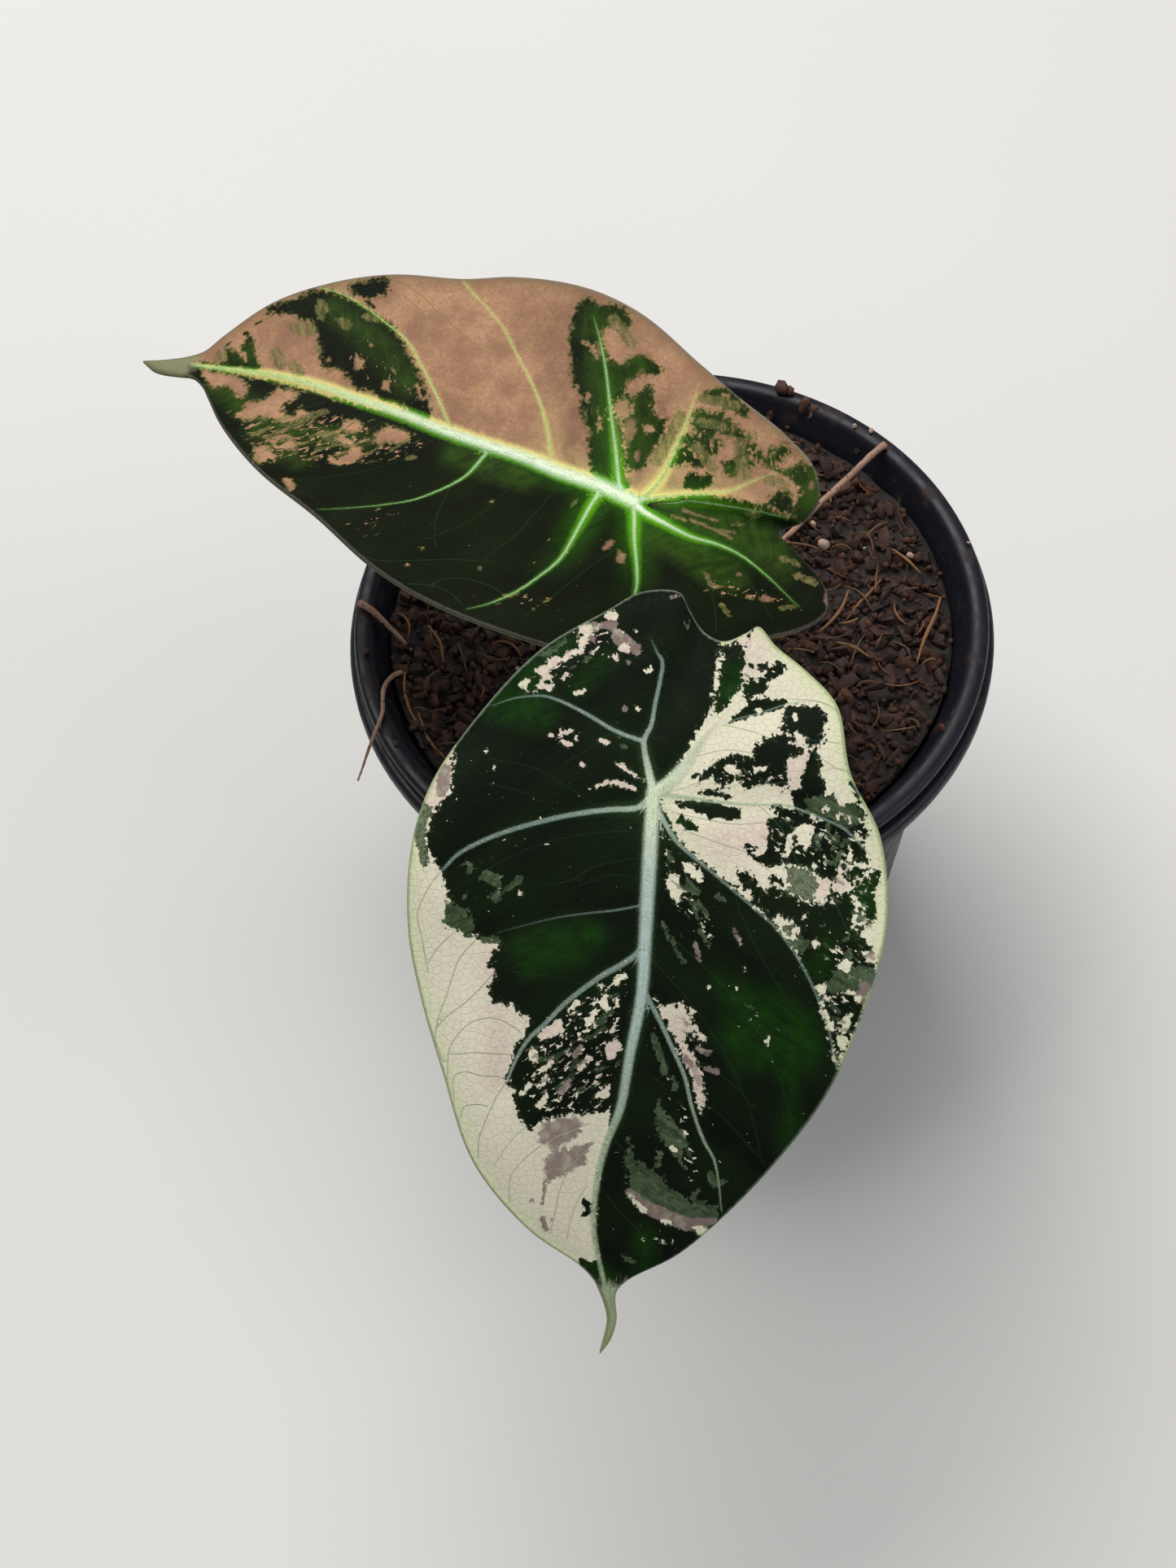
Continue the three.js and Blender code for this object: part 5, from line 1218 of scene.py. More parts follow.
def velvet_skin(name, tint, feel):
    """Living leaf skin: patches with ragged borders, veins, a fine net, and a short nap."""
    f = Finish(
        name, Specular_IOR_Level=0.06, Sheen_Weight=0.01, Sheen_Roughness=0.5,
        Sheen_Tint=(0.75, 0.85, 0.8, 1))
    a, b, side = f.parts(f.kept("flat"))
    width, strength, from_edge = f.parts(f.kept("vein_make"))
    fine_strength, tipness = f.parts(f.kept("fine_make"))[:2]
    pale, grey, mauve = f.parts(f.kept("zones"))
    bright, speckle, blush = f.parts(f.kept("moods"))
    plane = f.node("CombineXYZ", {0: a, 1: b}).outputs[0]
    # The same plane folded along the midrib, so that streaks run outwards on both halves.
    folded = f.node("CombineXYZ", {0: a, 1: f.math("ABSOLUTE", b)}).outputs[0]
    outward = f.stretched(folded, (1, 1, 1), math.radians(-58))

    def off_line(kept_way):
        """How far the nearest line of a kind is. Its offset blends well between the mesh's
        points, but is too short where two lines meet, so the distance holds it up there."""
        along, aside, distance = f.parts(f.kept(kept_way))
        level = f.node("CombineXYZ", {0: along, 1: aside}).outputs[0]
        length = f.node("VectorMath", {0: level}, operation="LENGTH").outputs["Value"]
        return f.math("MAXIMUM", length, f.sum(distance, -0.45))

    vein, fine = off_line("vein_way"), off_line("fine_way")
    # Noises of several sizes, in millimetres on the leaf.
    cell = f.parts(f.cells(plane, 0.5, output="Color", flat="2D"))[0]
    big, middle = f.noise(plane, 3.2, 2), f.noise(plane, 0.95, 6, 0.3, 0.68)
    bubble = f.cells(plane, 0.75, flat="2D")
    other, grain = f.noise(plane, 0.62, 4), f.noise(plane, 0.3, 3)
    streak = f.noise(f.stretched(outward, (0.14, 1, 1)), 1.1, 5, 0.2, 0.6)
    cloud = f.noise(f.stretched(outward, (0.4, 1, 1)), 8, 4)
    ragged = feel["rag"]
    rag = f.sum(
        big, f.times(middle, ragged), f.times(cell, 0.25), f.times(bubble, 0.7),
        -0.95 - ragged / 2)
    blur = feel["blur"]

    def border(depth, sign=1.0):
        """1 inside a patch and 0 outside, with a ragged border."""
        return f.ramp(f.sum(depth, f.times(rag, sign)), -blur, blur)

    flecks = f.noise(f.stretched(outward, (0.55, 1, 1)), 0.8, 6, 0.4, 0.6)
    fleck = f.sum(flecks, f.ramp(speckle, -1, 1.8, -0.03, 0.1))
    mist = f.sum(f.noise(f.stretched(outward, (0.4, 1, 1)), 1.5, 5), f.times(speckle, 0.03))
    is_pale = f.math("MAXIMUM", border(pale), f.ramp(fleck, 0.668, 0.684))
    hazy = f.ramp(f.sum(middle, grain), 0.82, 1.16, 1.42 - feel["soft"], 0.98)
    is_grey = f.math(
        "MAXIMUM", f.times(border(grey, -1.0), hazy),
        f.ramp(mist, 0.64, 0.675, 0, feel["mist"]))
    smear = 0.15 + 2 * blur
    is_mauve = f.ramp(f.sum(mauve, f.times(rag, -0.7)), -smear, smear)

    # The dark green, the cream or salmon with its fine net, and the two greyer tints.
    deep = f.mix(f.ramp(cloud, 0.3, 0.7), tint["deep"], tint["deep_light"])
    deep = f.mix(f.ramp(streak, 0.5, 0.75, 0, 0.4), deep, tint["deep_light"])
    lit = f.times(f.ramp(bright, -2.5, 2.5), f.ramp(f.sum(big, streak), 0.75, 1.25, 0.4, 1))
    deep = f.mix(lit, deep, tint["bright"])
    wander = f.node("TexNoise", {"Vector": plane, "Scale": 0.9, "Detail": 2}).outputs["Color"]
    swayed = f.node("VectorMath", {0: plane, 1: wander}, operation="ADD").outputs[0]
    net = f.ramp(f.cells(swayed, 1.2, "DISTANCE_TO_EDGE", flat="2D"), 0.015, 0.09, 1, 0)
    cool = f.ramp(f.sum(from_edge, f.times(big, 1.6)), 0.9, 4.2, 0.8, 0)
    light = f.mix(cool, tint["pale"], tint["pale_cool"])
    warm = f.times(f.ramp(blush, -2.5, 2), f.ramp(middle, 0.35, 0.65, 0.25, 0.9))
    light = f.mix(warm, light, tint["blush"])
    mottle = f.noise(plane, 1.1, 6, 0, 0.75)
    light = f.mix(f.ramp(mottle, 0.4, 0.66, 0, feel["mottle"]), light, tint["blush"])
    broad = f.noise(plane, 7, 5, 0, 0.6)
    light = f.mix(f.ramp(broad, 0.35, 0.65, 0, feel["cloud"]), light, tint["blush"])
    light = f.mix(f.ramp(grain, 0.5, 0.75, 0, feel["lace"] * 1.6), light, tint["blush"])
    light = f.mix(f.times(net, feel["lace"]), light, tint["fine_pale"])
    ashen = f.mix(f.ramp(f.sum(streak, flecks), 0.8, 1.25), tint["grey"], tint["grey_light"])
    rosy = f.mix(f.ramp(f.noise(plane, 2, 5), 0.45, 0.75, 0, 0.4), tint["mauve"], tint["pale"])

    # The tints laid over one another, and how light the skin ends up.
    skin = f.mix(is_pale, deep, light)
    edging = f.ramp(f.math("ABSOLUTE", f.sum(pale, rag)), 0.1, 0.7, feel["soft"] - 0.55, 0)
    skin = f.mix(edging, skin, tint["lace"])
    skin = f.mix(is_grey, skin, ashen)
    skin = f.mix(f.times(is_mauve, 0.9), skin, rosy)
    lightness = f.math("MAXIMUM", is_pale, f.times(is_mauve, 0.5))
    lightness = f.math("SUBTRACT", lightness, f.times(is_grey, 0.6))

    # The glow and the feathered fringe beside the veins, strongest near the junction: painted
    # light shining through the blade, strong on the back leaf and weak on the front.
    span = f.node("VectorMath", {0: plane}, operation="LENGTH").outputs["Value"]
    home = f.ramp(span, 3, feel["home"], 1, 0)
    near = f.math("MAXIMUM", f.times(home, home), f.ramp(width, 0.5, 0.9, 0, 0.7))
    off = f.math("SUBTRACT", vein, f.times(width, 0.8))
    feather = f.sum(off, f.times(f.sum(grain, streak, -1.0), 0.9))
    painted_glow = f.times(f.ramp(off, 0, 5, 1, 0), f.times(home, strength))
    painted_glow = f.times(painted_glow, f.ramp(streak, 0.25, 0.7, 0.45, 1))
    painted_glow = f.times(painted_glow, f.math("MULTIPLY_ADD", lightness, -0.5 * feel["glow"], feel["glow"]))
    skin = f.mix(painted_glow, skin, f.mix(lightness, tint["glow"], tint["fringe_pale"]))
    reach = f.math("MULTIPLY_ADD", near, feel["fringe_reach"], 0.45)
    fringe = f.ramp(f.math("DIVIDE", feather, reach), 0, 1.2, 1, 0)
    fringe = f.times(fringe, strength, f.math("MULTIPLY_ADD", near, 0.7, 0.3))
    painted_fringe_tone = f.mix(lightness, tint["fringe"], tint["fringe_pale"])
    skin = f.mix(f.times(fringe, feel["fringe"]), skin, painted_fringe_tone)

    # Thin veins, then the main ones with their own grain.
    hair = f.times(f.ramp(fine, 0.04, 0.16, 1, 0), fine_strength)
    hair_tone = f.mix(lightness, tint["fine_deep"], tint["fine_pale"])
    skin = f.mix(f.times(hair, 0.75), skin, hair_tone)
    lengthwise = f.noise(f.stretched(plane, (0.12, 1, 1)), 0.28, 3)
    body = f.mix(f.ramp(width, 0.5, 1.0), tint["vein"], tint["midrib"])
    body = f.mix(f.ramp(a, 25, 65, 0, 0.55), body, tint["pale_vein"])
    body = f.mix(f.ramp(a, 45, 72, 0, feel["dusk"]), body, tint["under"])
    at_home = f.times(home, home, f.ramp(width, 0.3, 1.0, 0.3, 1))
    body = f.mix(at_home, body, tint["home_vein"])
    on_light = f.times(lightness, f.ramp(width, 0.6, 1.0, 0.9, 0.2))
    body = f.mix(on_light, body, tint["pale_vein"])
    body = f.mix(f.ramp(f.sum(lengthwise, grain), 0.85, 1.35, 0, 0.5), body, tint["edge_deep"])
    body = f.mix(f.ramp(f.sum(other, grain), 1.02, 1.3, 0, 0.55), body, tint["home_vein"])
    reach = f.sum(vein, f.times(f.sum(grain, other, -1.0), 0.3))
    reach = f.math("DIVIDE", reach, f.sum(width, 0.02))
    in_vein = f.times(f.ramp(reach, 1.0 - feel["soft"], 1.2, 1, 0), strength)
    skin = f.mix(in_vein, skin, body)

    # The horny rim, the tail tip, and the underside.
    inward = f.sum(from_edge, f.times(f.sum(middle, -0.5), 0.7))
    rim = f.ramp(f.sum(inward, f.times(lightness, -feel["rim"])), 0.1, 0.6, 1, 0)
    rim_tone = f.mix(lightness, tint["edge_deep"], tint["edge_pale"])
    skin = f.mix(f.times(rim, 0.85), skin, rim_tone)
    centre = f.sum(f.ramp(from_edge, 0.3, 1.0, 0, 0.6), f.times(lengthwise, 0.4))
    point = f.mix(centre, tint["tip"], tint["tip_light"])
    into_tip = f.sum(tipness, f.times(f.sum(middle, lengthwise, -1.0), 0.8))
    skin = f.mix(f.ramp(into_tip, 0.25, 0.85), skin, point)
    below = f.mix(f.times(lightness, 0.5), tint["under"], tint["pale_cool"])
    below = f.mix(f.times(in_vein, 0.7), below, tint["pale_cool"])
    below = f.mix(f.times(net, 0.3), below, tint["grey_light"])
    skin = f.mix(f.ramp(side, -0.35, -0.05, 1, 0), skin, below)

    rough = f.sum(f.ramp(grain, 0.3, 0.7, 0.5, 0.66), f.times(in_vein, -0.06))
    wrinkle = f.noise(plane, 1.4, 4)
    relief = f.sum(
        f.times(net, -0.4), f.times(wrinkle, 0.7), f.times(grain, 0.3), f.times(hair, -0.8),
        f.times(lengthwise, 0.3))
    return f.done(skin, rough, f.bump(relief, 0.15, 0.6))


piece(
    "front_leaf", blade("front_leaf", FRONT_LEAF),
    velvet_skin("cream_velvet_leaf", FRONT_TINTS, FRONT_FEEL), "cream_blade", "front_blade")


# Back blade
# The second leaf, behind: dull salmon where the first is cream, and olive black below its
# midrib. Light from above comes through it, and the lime glow beside its veins is painted
# into the skin's colour.
BACK_LEAF = {
    "junction": (-6.4, -9.5, 142), "heading": 152, "slope": -5, "bend": 18, "cup": 18,
    "soft": 6, "curl": 0, "wave": 0.8, "waves": 7, "crease": 2, "notch": (-25.5, 6.5),
    "quilt": 0.3, "tip_round": 0.5,
    # The raised fold from the junction to the upper lobe.
    "bumps": [([(-8, 4.2), (-14.2, 6.9), (-19.9, 8.6), (-26, 9.4)], 1.1, 1.1)],
    "outline": [
        (-25.5, 6.5), (-28.5, 10), (-29, 14), (-25.5, 19), (-19, 21.8), (-10, 24.2), (0, 28),
        (12, 32), (26, 33.6), (37, 32.3), (46, 29.2), (58.5, 26.3), (69, 21.8), (78.5, 15.8),
        (85.5, 8), (88, 4.6), (90.5, 3.1), (93, 2.1), (96, 1.2), (98.3, 0.7), (99.8, 0.3),
        (98.2, -0.7), (96, -1.7), (93.5, -2), (90.5, -1.8), (87.5, -1.6), (84.5, -3.2),
        (82, -5.5), (75, -12), (61.5, -21.5), (46.5, -29.3), (31, -37.3), (16.5, -40.5),
        (0, -41.3), (-12, -37.5), (-23, -29), (-30.5, -19.5), (-36, -12), (-38.7, -5),
        (-36.5, -0.5), (-30, 3.2)],
    "marks": (6, 15, 20, 25, 33),
    "spine": [
        (0, 0), (7.7, 0.6), (14, 0.4), (20.8, 0.8), (28.5, 0.7), (37.2, 0.9), (45.6, 1.6),
        (54.7, 2), (63.3, 2.6), (72.3, 2.5), (80, 1.9), (87.7, 1.2), (90.5, 0.7),
        (93.5, 0.2), (96.5, 0), (99.5, 0.2)],
    "tip_start": 11,
    "veins": [
        ([1.8, 1.7, 1.5, 1.3, 1.15, 1.0, 0.85, 0.7, 0.5], [1, 1], [1.8, 0.8],
         [(0, 0), (7.7, 0.6), (14, 0.4), (20.8, 0.8), (28.5, 0.7), (37.2, 0.9), (45.6, 1.6),
          (54.7, 2), (63.3, 2.6), (72.3, 2.5), (80, 1.9), (89, 1.1)]),
        ([0.3, 0.26, 0.22, 0.18, 0.14], [0.8, 0.85, 0.8, 0.7, 0.5], [1.1, 0.5],
         [(34, 1), (35.5, 1.6), (40.3, 6.1), (46, 11.2), (50.3, 14.7), (55.2, 16.8),
          (60, 18.6), (65.4, 20.1), (70.5, 20.4)]),
        ([0.34, 0.26, 0.2, 0.16, 0.12], [0.8, 0.85, 0.8, 0.7, 0.6], [1.1, 0.5],
         [(15.5, 0.8), (16.9, 2.6), (19.5, 7), (23, 11.5), (27, 15.5), (31, 19), (35.5, 23),
          (42.4, 26.9), (46, 29)]),
        ([0.6, 0.42, 0.32, 0.24, 0.12], [1, 1, 0.95, 0.8, 0.2], [1.1, 0.5],
         [(1.5, 0.4), (3.1, 1.6), (6.7, 7.7), (10.6, 14.2), (14.4, 20.7), (17.9, 25.9),
          (20.4, 29)]),
        ([0.6, 0.42, 0.3, 0.2, 0.1], [1, 1, 0.9, 0.7, 0.2], [1.1, 0.5],
         [(0, 0), (-1.6, 2.6), (-2.7, 7), (-2.6, 12.6), (-2.3, 19.1), (-1.4, 24.5)]),
        ([0.6, 0.42, 0.3, 0.2, 0.1], [1, 1, 0.9, 0.7, 0.2], [1.1, 0.5],
         [(0, 0), (-2.4, 1.9), (-6.3, 4.3), (-11, 6.8), (-14.5, 9), (-17, 11.8), (-20.5, 15.4)]),
        ([0.1, 0.16, 0.18, 0.1], [0, 0.7, 0.8, 0.5], [0, 0],
         [(-3, 0.9), (-9, 4), (-14.2, 6.1), (-19.9, 7.9), (-25.3, 9)]),
        ([1.0, 0.65, 0.42, 0.25, 0.12], [1, 1, 0.95, 0.8, 0.3], [1.1, 0.5],
         [(0, 0), (-2.2, -1.2), (-6.6, -1.9), (-12, -2.4), (-16.6, -1.6), (-21.2, -1.8),
          (-27.1, -3.7), (-33.9, -6.9)]),
        ([0.6, 0.44, 0.38, 0.34, 0.22, 0.1], [1, 0.97, 0.92, 0.85, 0.5, 0.1], [1.1, 0.5],
         [(0, 0), (-1.3, -2.6), (-3.7, -8.2), (-6.7, -14.3), (-8.6, -19), (-9.6, -26),
          (-10, -33)]),
        ([0.5, 0.36, 0.32, 0.26, 0.12], [1, 0.95, 0.9, 0.7, 0.2], [1.1, 0.5],
         [(5.8, 0.4), (6.2, -3.1), (5.8, -10), (5.1, -19.8), (6.3, -25.9), (8, -31.6),
          (10.6, -36.3), (13, -39)]),
        ([0.45, 0.32, 0.24, 0.18, 0.1], [1, 0.9, 0.75, 0.5, 0.2], [1.1, 0.5],
         [(27.4, 0.6), (28, -2.3), (28.6, -7.6), (30.7, -13.6), (33.3, -18.7), (36.8, -22.2),
          (41.3, -25.7), (45.6, -28.4)]),
    ],
    "fine": [
        (0.9, 58.5, 25, 54, 24.5, 50, 23, 46.5, 21, 44, 20, 40, 18.2, 35.5, 18, 31.5, 19),
        (0.8, 54.5, 22.5, 51, 21, 49, 18, 48.2, 16, 48, 13),
        (0.6, 38, 31, 35, 28, 34, 25.5, 35, 23),
        (0.8, 34.5, 32, 30, 29.5, 27, 27, 24, 24, 22, 22.8),
        (0.7, 36, 12, 33.5, 8, 32, 5, 31, 2), (0.4, 29, 25, 28, 22, 29.5, 19.5),
        (0.35, 25, 23, 23, 19, 22, 16), (0.5, 49, 27, 45.5, 24, 42, 23.5, 39, 24),
        (0.6, 9.5, -32.6, 12, -32, 14.5, -32, 18, -33, 20, -35, 21, -37),
        (0.6, 14, -38.4, 16, -37.2, 18, -36.5, 21, -36.8, 24, -38.2),
        (0.5, 14, -26, 16, -27, 20, -29, 25, -32.4, 30, -35.6, 34, -36),
        (0.4, 29.6, -11, 28.5, -16, 27, -22, 24, -28),
        (0.35, 13, -2, 13.5, -10, 14, -18, 16, -26), (0.35, 20, -2, 20.5, -10, 22, -19, 26, -27),
        (0.35, 38, -2, 41, -9, 46, -16, 53, -22), (0.35, 48, -1, 52, -7, 58, -13, 64, -17),
        (0.35, 60, 0, 65, -5, 71, -10), (0.35, -2, -12, 0, -20, 2, -29, 4, -37),
        (0.35, -12, -4, -17, -10, -22, -17, -24, -22), (0.35, -20, -3, -26, -8, -31, -13),
        (0.4, -3, 0.6, -10, 1.6, -16, 2.4, -24, 1.6), (0.4, -4, 1.6, -11, 3.4, -16, 4.4, -22, 5),
    ],
}
BACK_LEAF["patches"] = [
    ("pale", 0, 16, 0.8, 88, 1.3, 92, 0.5, 92, 6, 85, 15, 70, 27, 45, 35, 25, 39, 0, 34, -15, 28,
     -31, 23, -34, 12, -28.4, 9.6, -21, 9, -14.3, 7.6, -9, 5.4, -4, 2.5, 0, 1.2),
    ("deep", 0, 23.5, 31.9, 21.5, 31.7, 19.8, 31.2, 18.2, 31.9, 15.8, 31.9, 15, 30.9, 13.6, 30.5,
     13.4, 29.3, 14.4, 28.7, 15.5, 29.2, 16.7, 28.5, 17.5, 27.4, 18.1, 26.6, 17.1, 25.4,
     16.1, 24.2, 14.6, 22.5, 12.8, 22.3, 11.7, 22.5, 11.9, 23.7, 10.8, 24.7, 9.2, 25.4,
     6.6, 24.9, 5.4, 23.8, 6.8, 22.6, 8.4, 22.2, 9, 20.7, 9.9, 20.2, 9.6, 18.6, 8.9, 17.7,
     7.7, 17.8, 7.3, 19.5, 6.6, 20.9, 5.7, 20.8, 5, 19.2, 3.6, 17, 2.2, 16, 0.9, 16.5, 0.5, 14.8,
     0.4, 13.2, 0.6, 11.6, 0.9, 9.5, 1, 7.2, 1.5, 6, 2.9, 5.7, 4.6, 6.7, 5.4, 9.3, 6.3, 10.5,
     6.6, 12, 7.8, 13.1, 7, 14.9, 7.4, 16.4, 9.2, 16.9, 10.2, 16.6, 10.1, 14.8, 8.6, 12.8,
     6.6, 10.4, 5.2, 7.8, 4.1, 5.6, 2.9, 3.7, 1.6, 2.9, 2.1, 1.3, 4.2, 0.3, 6.8, 0.6, 8.8, 2.3,
     10.4, 4.4, 11.8, 7.2, 12.2, 9.1, 13.3, 10.2, 15.1, 11.5, 16, 12.8, 16.2, 14.7, 17.8, 16,
     18.7, 16.4, 20.4, 19.6, 22.8, 23.8, 23.9, 27.8, 23.9, 29.9),
    ("pale", 0, 20.5, 24.5, 19.7, 24.7, 18.9, 23.8, 19.8, 23.7),
    ("pale", 0, 16.1, 15.9, 15, 16, 14.9, 14.4, 15.5, 14.3),
    ("pale", 0, 12.1, 11.6, 11.2, 11.9, 10.7, 10.8, 11.3, 10.3),
    ("pale", 0, 4.1, 13.8, 3.2, 14.6, 2.1, 13.8, 2.9, 12.6, 3.9, 13),
    ("pale", 0.33, 18.4, 24.1, 16.9, 22.4), ("grey", 0.44, 17.7, 24.9, 16.6, 23.1),
    ("grey", 0.28, 15, 13.2, 14.1, 11.6),
    ("mauve", 0, 7.4, 13.6, 6, 14.4, 4.9, 12.3, 5.2, 9.6, 6.5, 11),
    ("mauve", 0.39, 3.2, 8.8, 2.8, 7.7),
    ("mauve", 0, 2.9, 3.7, 1.7, 5.9, 0.7, 6.6, 0.4, 4.4, 0.9, 2.8),
    ("mauve", 0, -2.9, 6.7, -4, 8.2, -5.3, 6.2, -4.1, 5.3),
    ("mauve", 0, 17.5, 12.3, 16.7, 13, 15.7, 11.6, 16.2, 10.4, 17.1, 11.1),
    ("mauve", 0, 16.7, 8, 15.3, 9.2, 14.1, 10, 13.6, 7.8, 14.3, 5.5, 12.9, 3.7, 11.1, 2.7,
     13.1, 2.2, 15.5, 4), ("mauve", 0, 4.2, 18.9, 2.5, 19.3, 1.1, 16.8, 2.4, 16.2),
    ("deep", 0, -2.8, 22.8, -3.8, 23.9, -4.8, 24.8, -6.2, 25.3, -7.4, 25.2, -9.6, 24,
     -11.7, 22.8, -11.7, 21.7, -10.1, 21.6, -8.9, 21.7, -7.4, 21.4, -6.7, 22.3, -5.3, 21.2,
     -3.9, 21.9), ("pale", 0.37, -6.5, 23.8, -7.1, 23.9),
    ("deep", 0, -2.8, 19.5, -3.8, 20.1, -5.8, 20, -7.5, 21.2, -8.5, 20.1, -10.6, 19.9,
     -10.3, 18.6, -11.7, 19.2, -13.6, 18.9, -13.8, 17.9, -12.6, 17.3, -11.4, 17.7, -9.8, 17.3,
     -8.5, 17.3, -7.5, 16.3, -9.5, 16.3, -9.5, 14.9, -9.3, 13.7, -8.7, 12.6, -8.4, 10.8,
     -7.5, 10.3, -5.3, 10.1, -4, 9.2, -2.7, 9, -3, 11.5, -2.9, 14.3, -3.8, 15.2, -5.4, 15.7,
     -3.4, 16.8),
    ("deep", 0, -12.6, 14.9, -12.9, 16.7, -14.1, 17.8, -15.6, 18.2, -16.6, 16.7, -16.6, 14.9,
     -16, 13.8, -14.7, 14.1, -13.9, 13.4, -14.1, 11.8, -13.3, 11, -12.2, 11.3, -12.1, 12.4,
     -11.1, 12.8, -11.7, 13.3, -12.5, 14), ("pale", 0.34, -14.9, 15.8, -15.3, 15.5),
    ("deep", 0, -6.3, 7.9, -6.7, 8.9, -7.5, 9.6, -8.7, 8.9, -9.5, 10.1, -10.7, 10.1, -11.1, 8.5,
     -9.9, 7.4, -8.5, 6.2, -6.8, 6),
    ("deep", 0, -17.5, 15.4, -17.4, 18.5, -18.4, 19.4, -20.2, 20.3, -21.1, 19.1, -19.8, 17.6,
     -19.9, 16.2, -21.1, 16.1, -22.5, 17.3, -23.3, 18.6, -24.6, 19.3, -26, 18.7, -28, 16.7,
     -29.6, 13.8, -29.8, 11.2, -29.2, 9.6, -27.4, 8.8, -25.8, 9.6, -24.5, 9.5, -20.9, 9.3,
     -21.3, 10.7, -22.2, 12.3, -23.9, 12.4, -24.8, 11.7, -26, 10.9, -25.4, 12.8, -25, 14.1,
     -23.5, 14.9, -22.1, 15.1, -20.4, 15.2, -19.7, 15.5, -18.2, 15.1),
    ("pale", 0.58, -21.2, 17.1, -21.7, 17.2), ("mauve", 0.47, -21.6, 19.8, -23.3, 20.3),
    ("mauve", 0.42, -26.7, 15.7, -26.9, 14.9), ("pale", 0.39, -24.1, 19.6, -24.7, 19.1),
    # Olive haze over the salmon between the lobe's dark marks
    ("grey", 1, 8.8, 12.6, 7, 8.4), ("grey", 1.1, -0.6, 9, -1, 17.5),
    ("grey", 1, -6, 13.4, -10, 11.4), ("grey", 1.1, -12.4, 16.8, -15.4, 12.4),
    ("grey", 1, -19.6, 13.4, -22.6, 13.6), ("grey", 0.9, -3, 22, -9, 22.8),
    ("grey", 0.9, 12, 26.4, 17, 29.6), ("grey", 0.8, -4.6, 18, -8.6, 18.6),
    ("grey", 0.37, -18.2, 17.4, -18.4, 18.1), ("mauve", 0.18, -8.4, 2.1, -11, 2.5, -14.5, 3.2),
    ("mauve", 0.21, -10.3, 0.9, -14.5, 1.1, -18, 0.9), ("pale", 0.18, -19, 7.5, -20.7, 7.8),
    ("grey", 0.24, -12.1, 0.8, -13.3, 1.3), ("grey", 0.21, -17, 4, -19.1, 4.9),
    ("mauve", 0.16, -7.2, 0.2, -9.7, 0.4), ("mauve", 0.18, -15.5, 1.4, -18.2, 2.3),
    # The wedge along the upper side vein
    ("deep", 0, 39.8, 2.2, 40.5, 4, 42, 5.6, 45, 9, 49, 12.5, 51, 14.5, 55, 17, 60, 18.7, 65, 20,
     70, 20.2, 72, 19.4, 74, 17.6, 76, 16.4, 79, 15, 78.5, 13.7, 76, 14, 74, 14.2, 71, 13.7,
     69, 14, 67.5, 12, 66.5, 10.5, 65.5, 9.5, 64, 6.5, 62.5, 6, 60, 6.7, 58, 5.5, 56.5, 4,
     54.5, 3.8, 52, 4, 50, 3.2, 48, 3.2, 46, 3, 44, 1.9, 42.5, 1.9, 41, 1.9),
    ("pale", 0, 56, 8, 57, 9.5, 58.5, 10, 58, 8, 56.8, 7),
    ("pale", 0, 49.3, 5, 50, 7, 51.5, 6.5, 51, 5), ("pale", 0.4, 63, 7.6),
    ("pale", 0.3, 56, 12, 56.6, 12.4),
    ("grey", 0, 66.5, 16, 68, 18, 70, 18.5, 69.5, 16, 68, 15.2),
    ("grey", 0, 61, 15, 63, 16, 65, 15.5, 64, 14, 62, 13.7), ("grey", 0.6, 57.5, 17, 60, 17.2),
    ("pale", 0.3, 43.4, 5.4, 45.2, 7.4),
    ("deep", 0, 57.5, 22, 58.5, 24.8, 60, 25.1, 62, 24.2, 64, 23, 65.5, 21.7, 64, 20.8, 62, 20.3,
     60.5, 20.7, 59, 21.5), ("deep", 0.3, 59, 19.2, 60.8, 20),
    ("deep", 0, 83.9, 5.6, 82.8, 5.8, 80.7, 5.1, 79.1, 4.1, 79, 5.2, 80.9, 6.2, 80.4, 7.4,
     80.8, 8.6, 81.7, 9, 81.7, 9.8, 80.4, 9.5, 79.5, 9.1, 78.7, 7.7, 77.4, 5.8, 76.4, 4.6,
     75, 3.4, 76.3, 2.5, 79.8, 2.5, 81.9, 2.1, 87.4, 1.8, 87.7, 2.4, 84.2, 2.5, 82.5, 3.4),
    ("deep", 0.21, 83.8, 6.2, 83.3, 7), ("deep", 0.24, 79.7, 11.2, 79.1, 11.9),
    ("grey", 0, 85.9, 4.2, 84.9, 5.2, 83.7, 5.1, 82.6, 3.6, 83.7, 2.8, 85.1, 2.5),
    ("grey", 0, 75.1, 7.3, 73.6, 7.9, 72, 6.9, 70.6, 5.1, 71.2, 3.8, 73.2, 4.5, 74.4, 5.9),
    ("grey", 0, 70.6, 5.6, 69.6, 6.1, 67.8, 5.7, 66.1, 3.9, 67.5, 3.3, 69.1, 3.7),
    ("grey", 0, 73.8, 12.4, 71.6, 13.1, 69.2, 13.3, 67.7, 12.9, 67.6, 11.6, 69.1, 10.7,
     71.4, 10.7), ("grey", 0, 70, 17.7, 68.6, 18.3, 66.8, 14.4, 68.2, 14.6),
    ("grey", 0.37, 66.6, 9.4, 65.3, 8.9),
    ("deep", 0, 76.2, -1, 75.8, 0.4, 74.4, 1.1, 72.3, 1.4, 70.2, 1.1, 69.6, -0.1, 71.4, -1.4,
     74.5, -2.1),
    # Below the midrib
    ("pale", 0, 42, -2, 44, -1.6, 47, -1.6, 48, -4, 47, -6.5, 45.5, -6, 44, -5, 42.5, -4.6),
    ("pale", 0, 48.5, -8, 50, -9, 50, -11, 50.5, -13.5, 52.5, -13, 51.5, -15, 49.5, -15,
     47.5, -13, 47, -11, 48, -9.5),
    ("pale", 0, 51, -3, 53, -2.2, 54.5, -3, 54.5, -5, 53, -6, 51, -5.5),
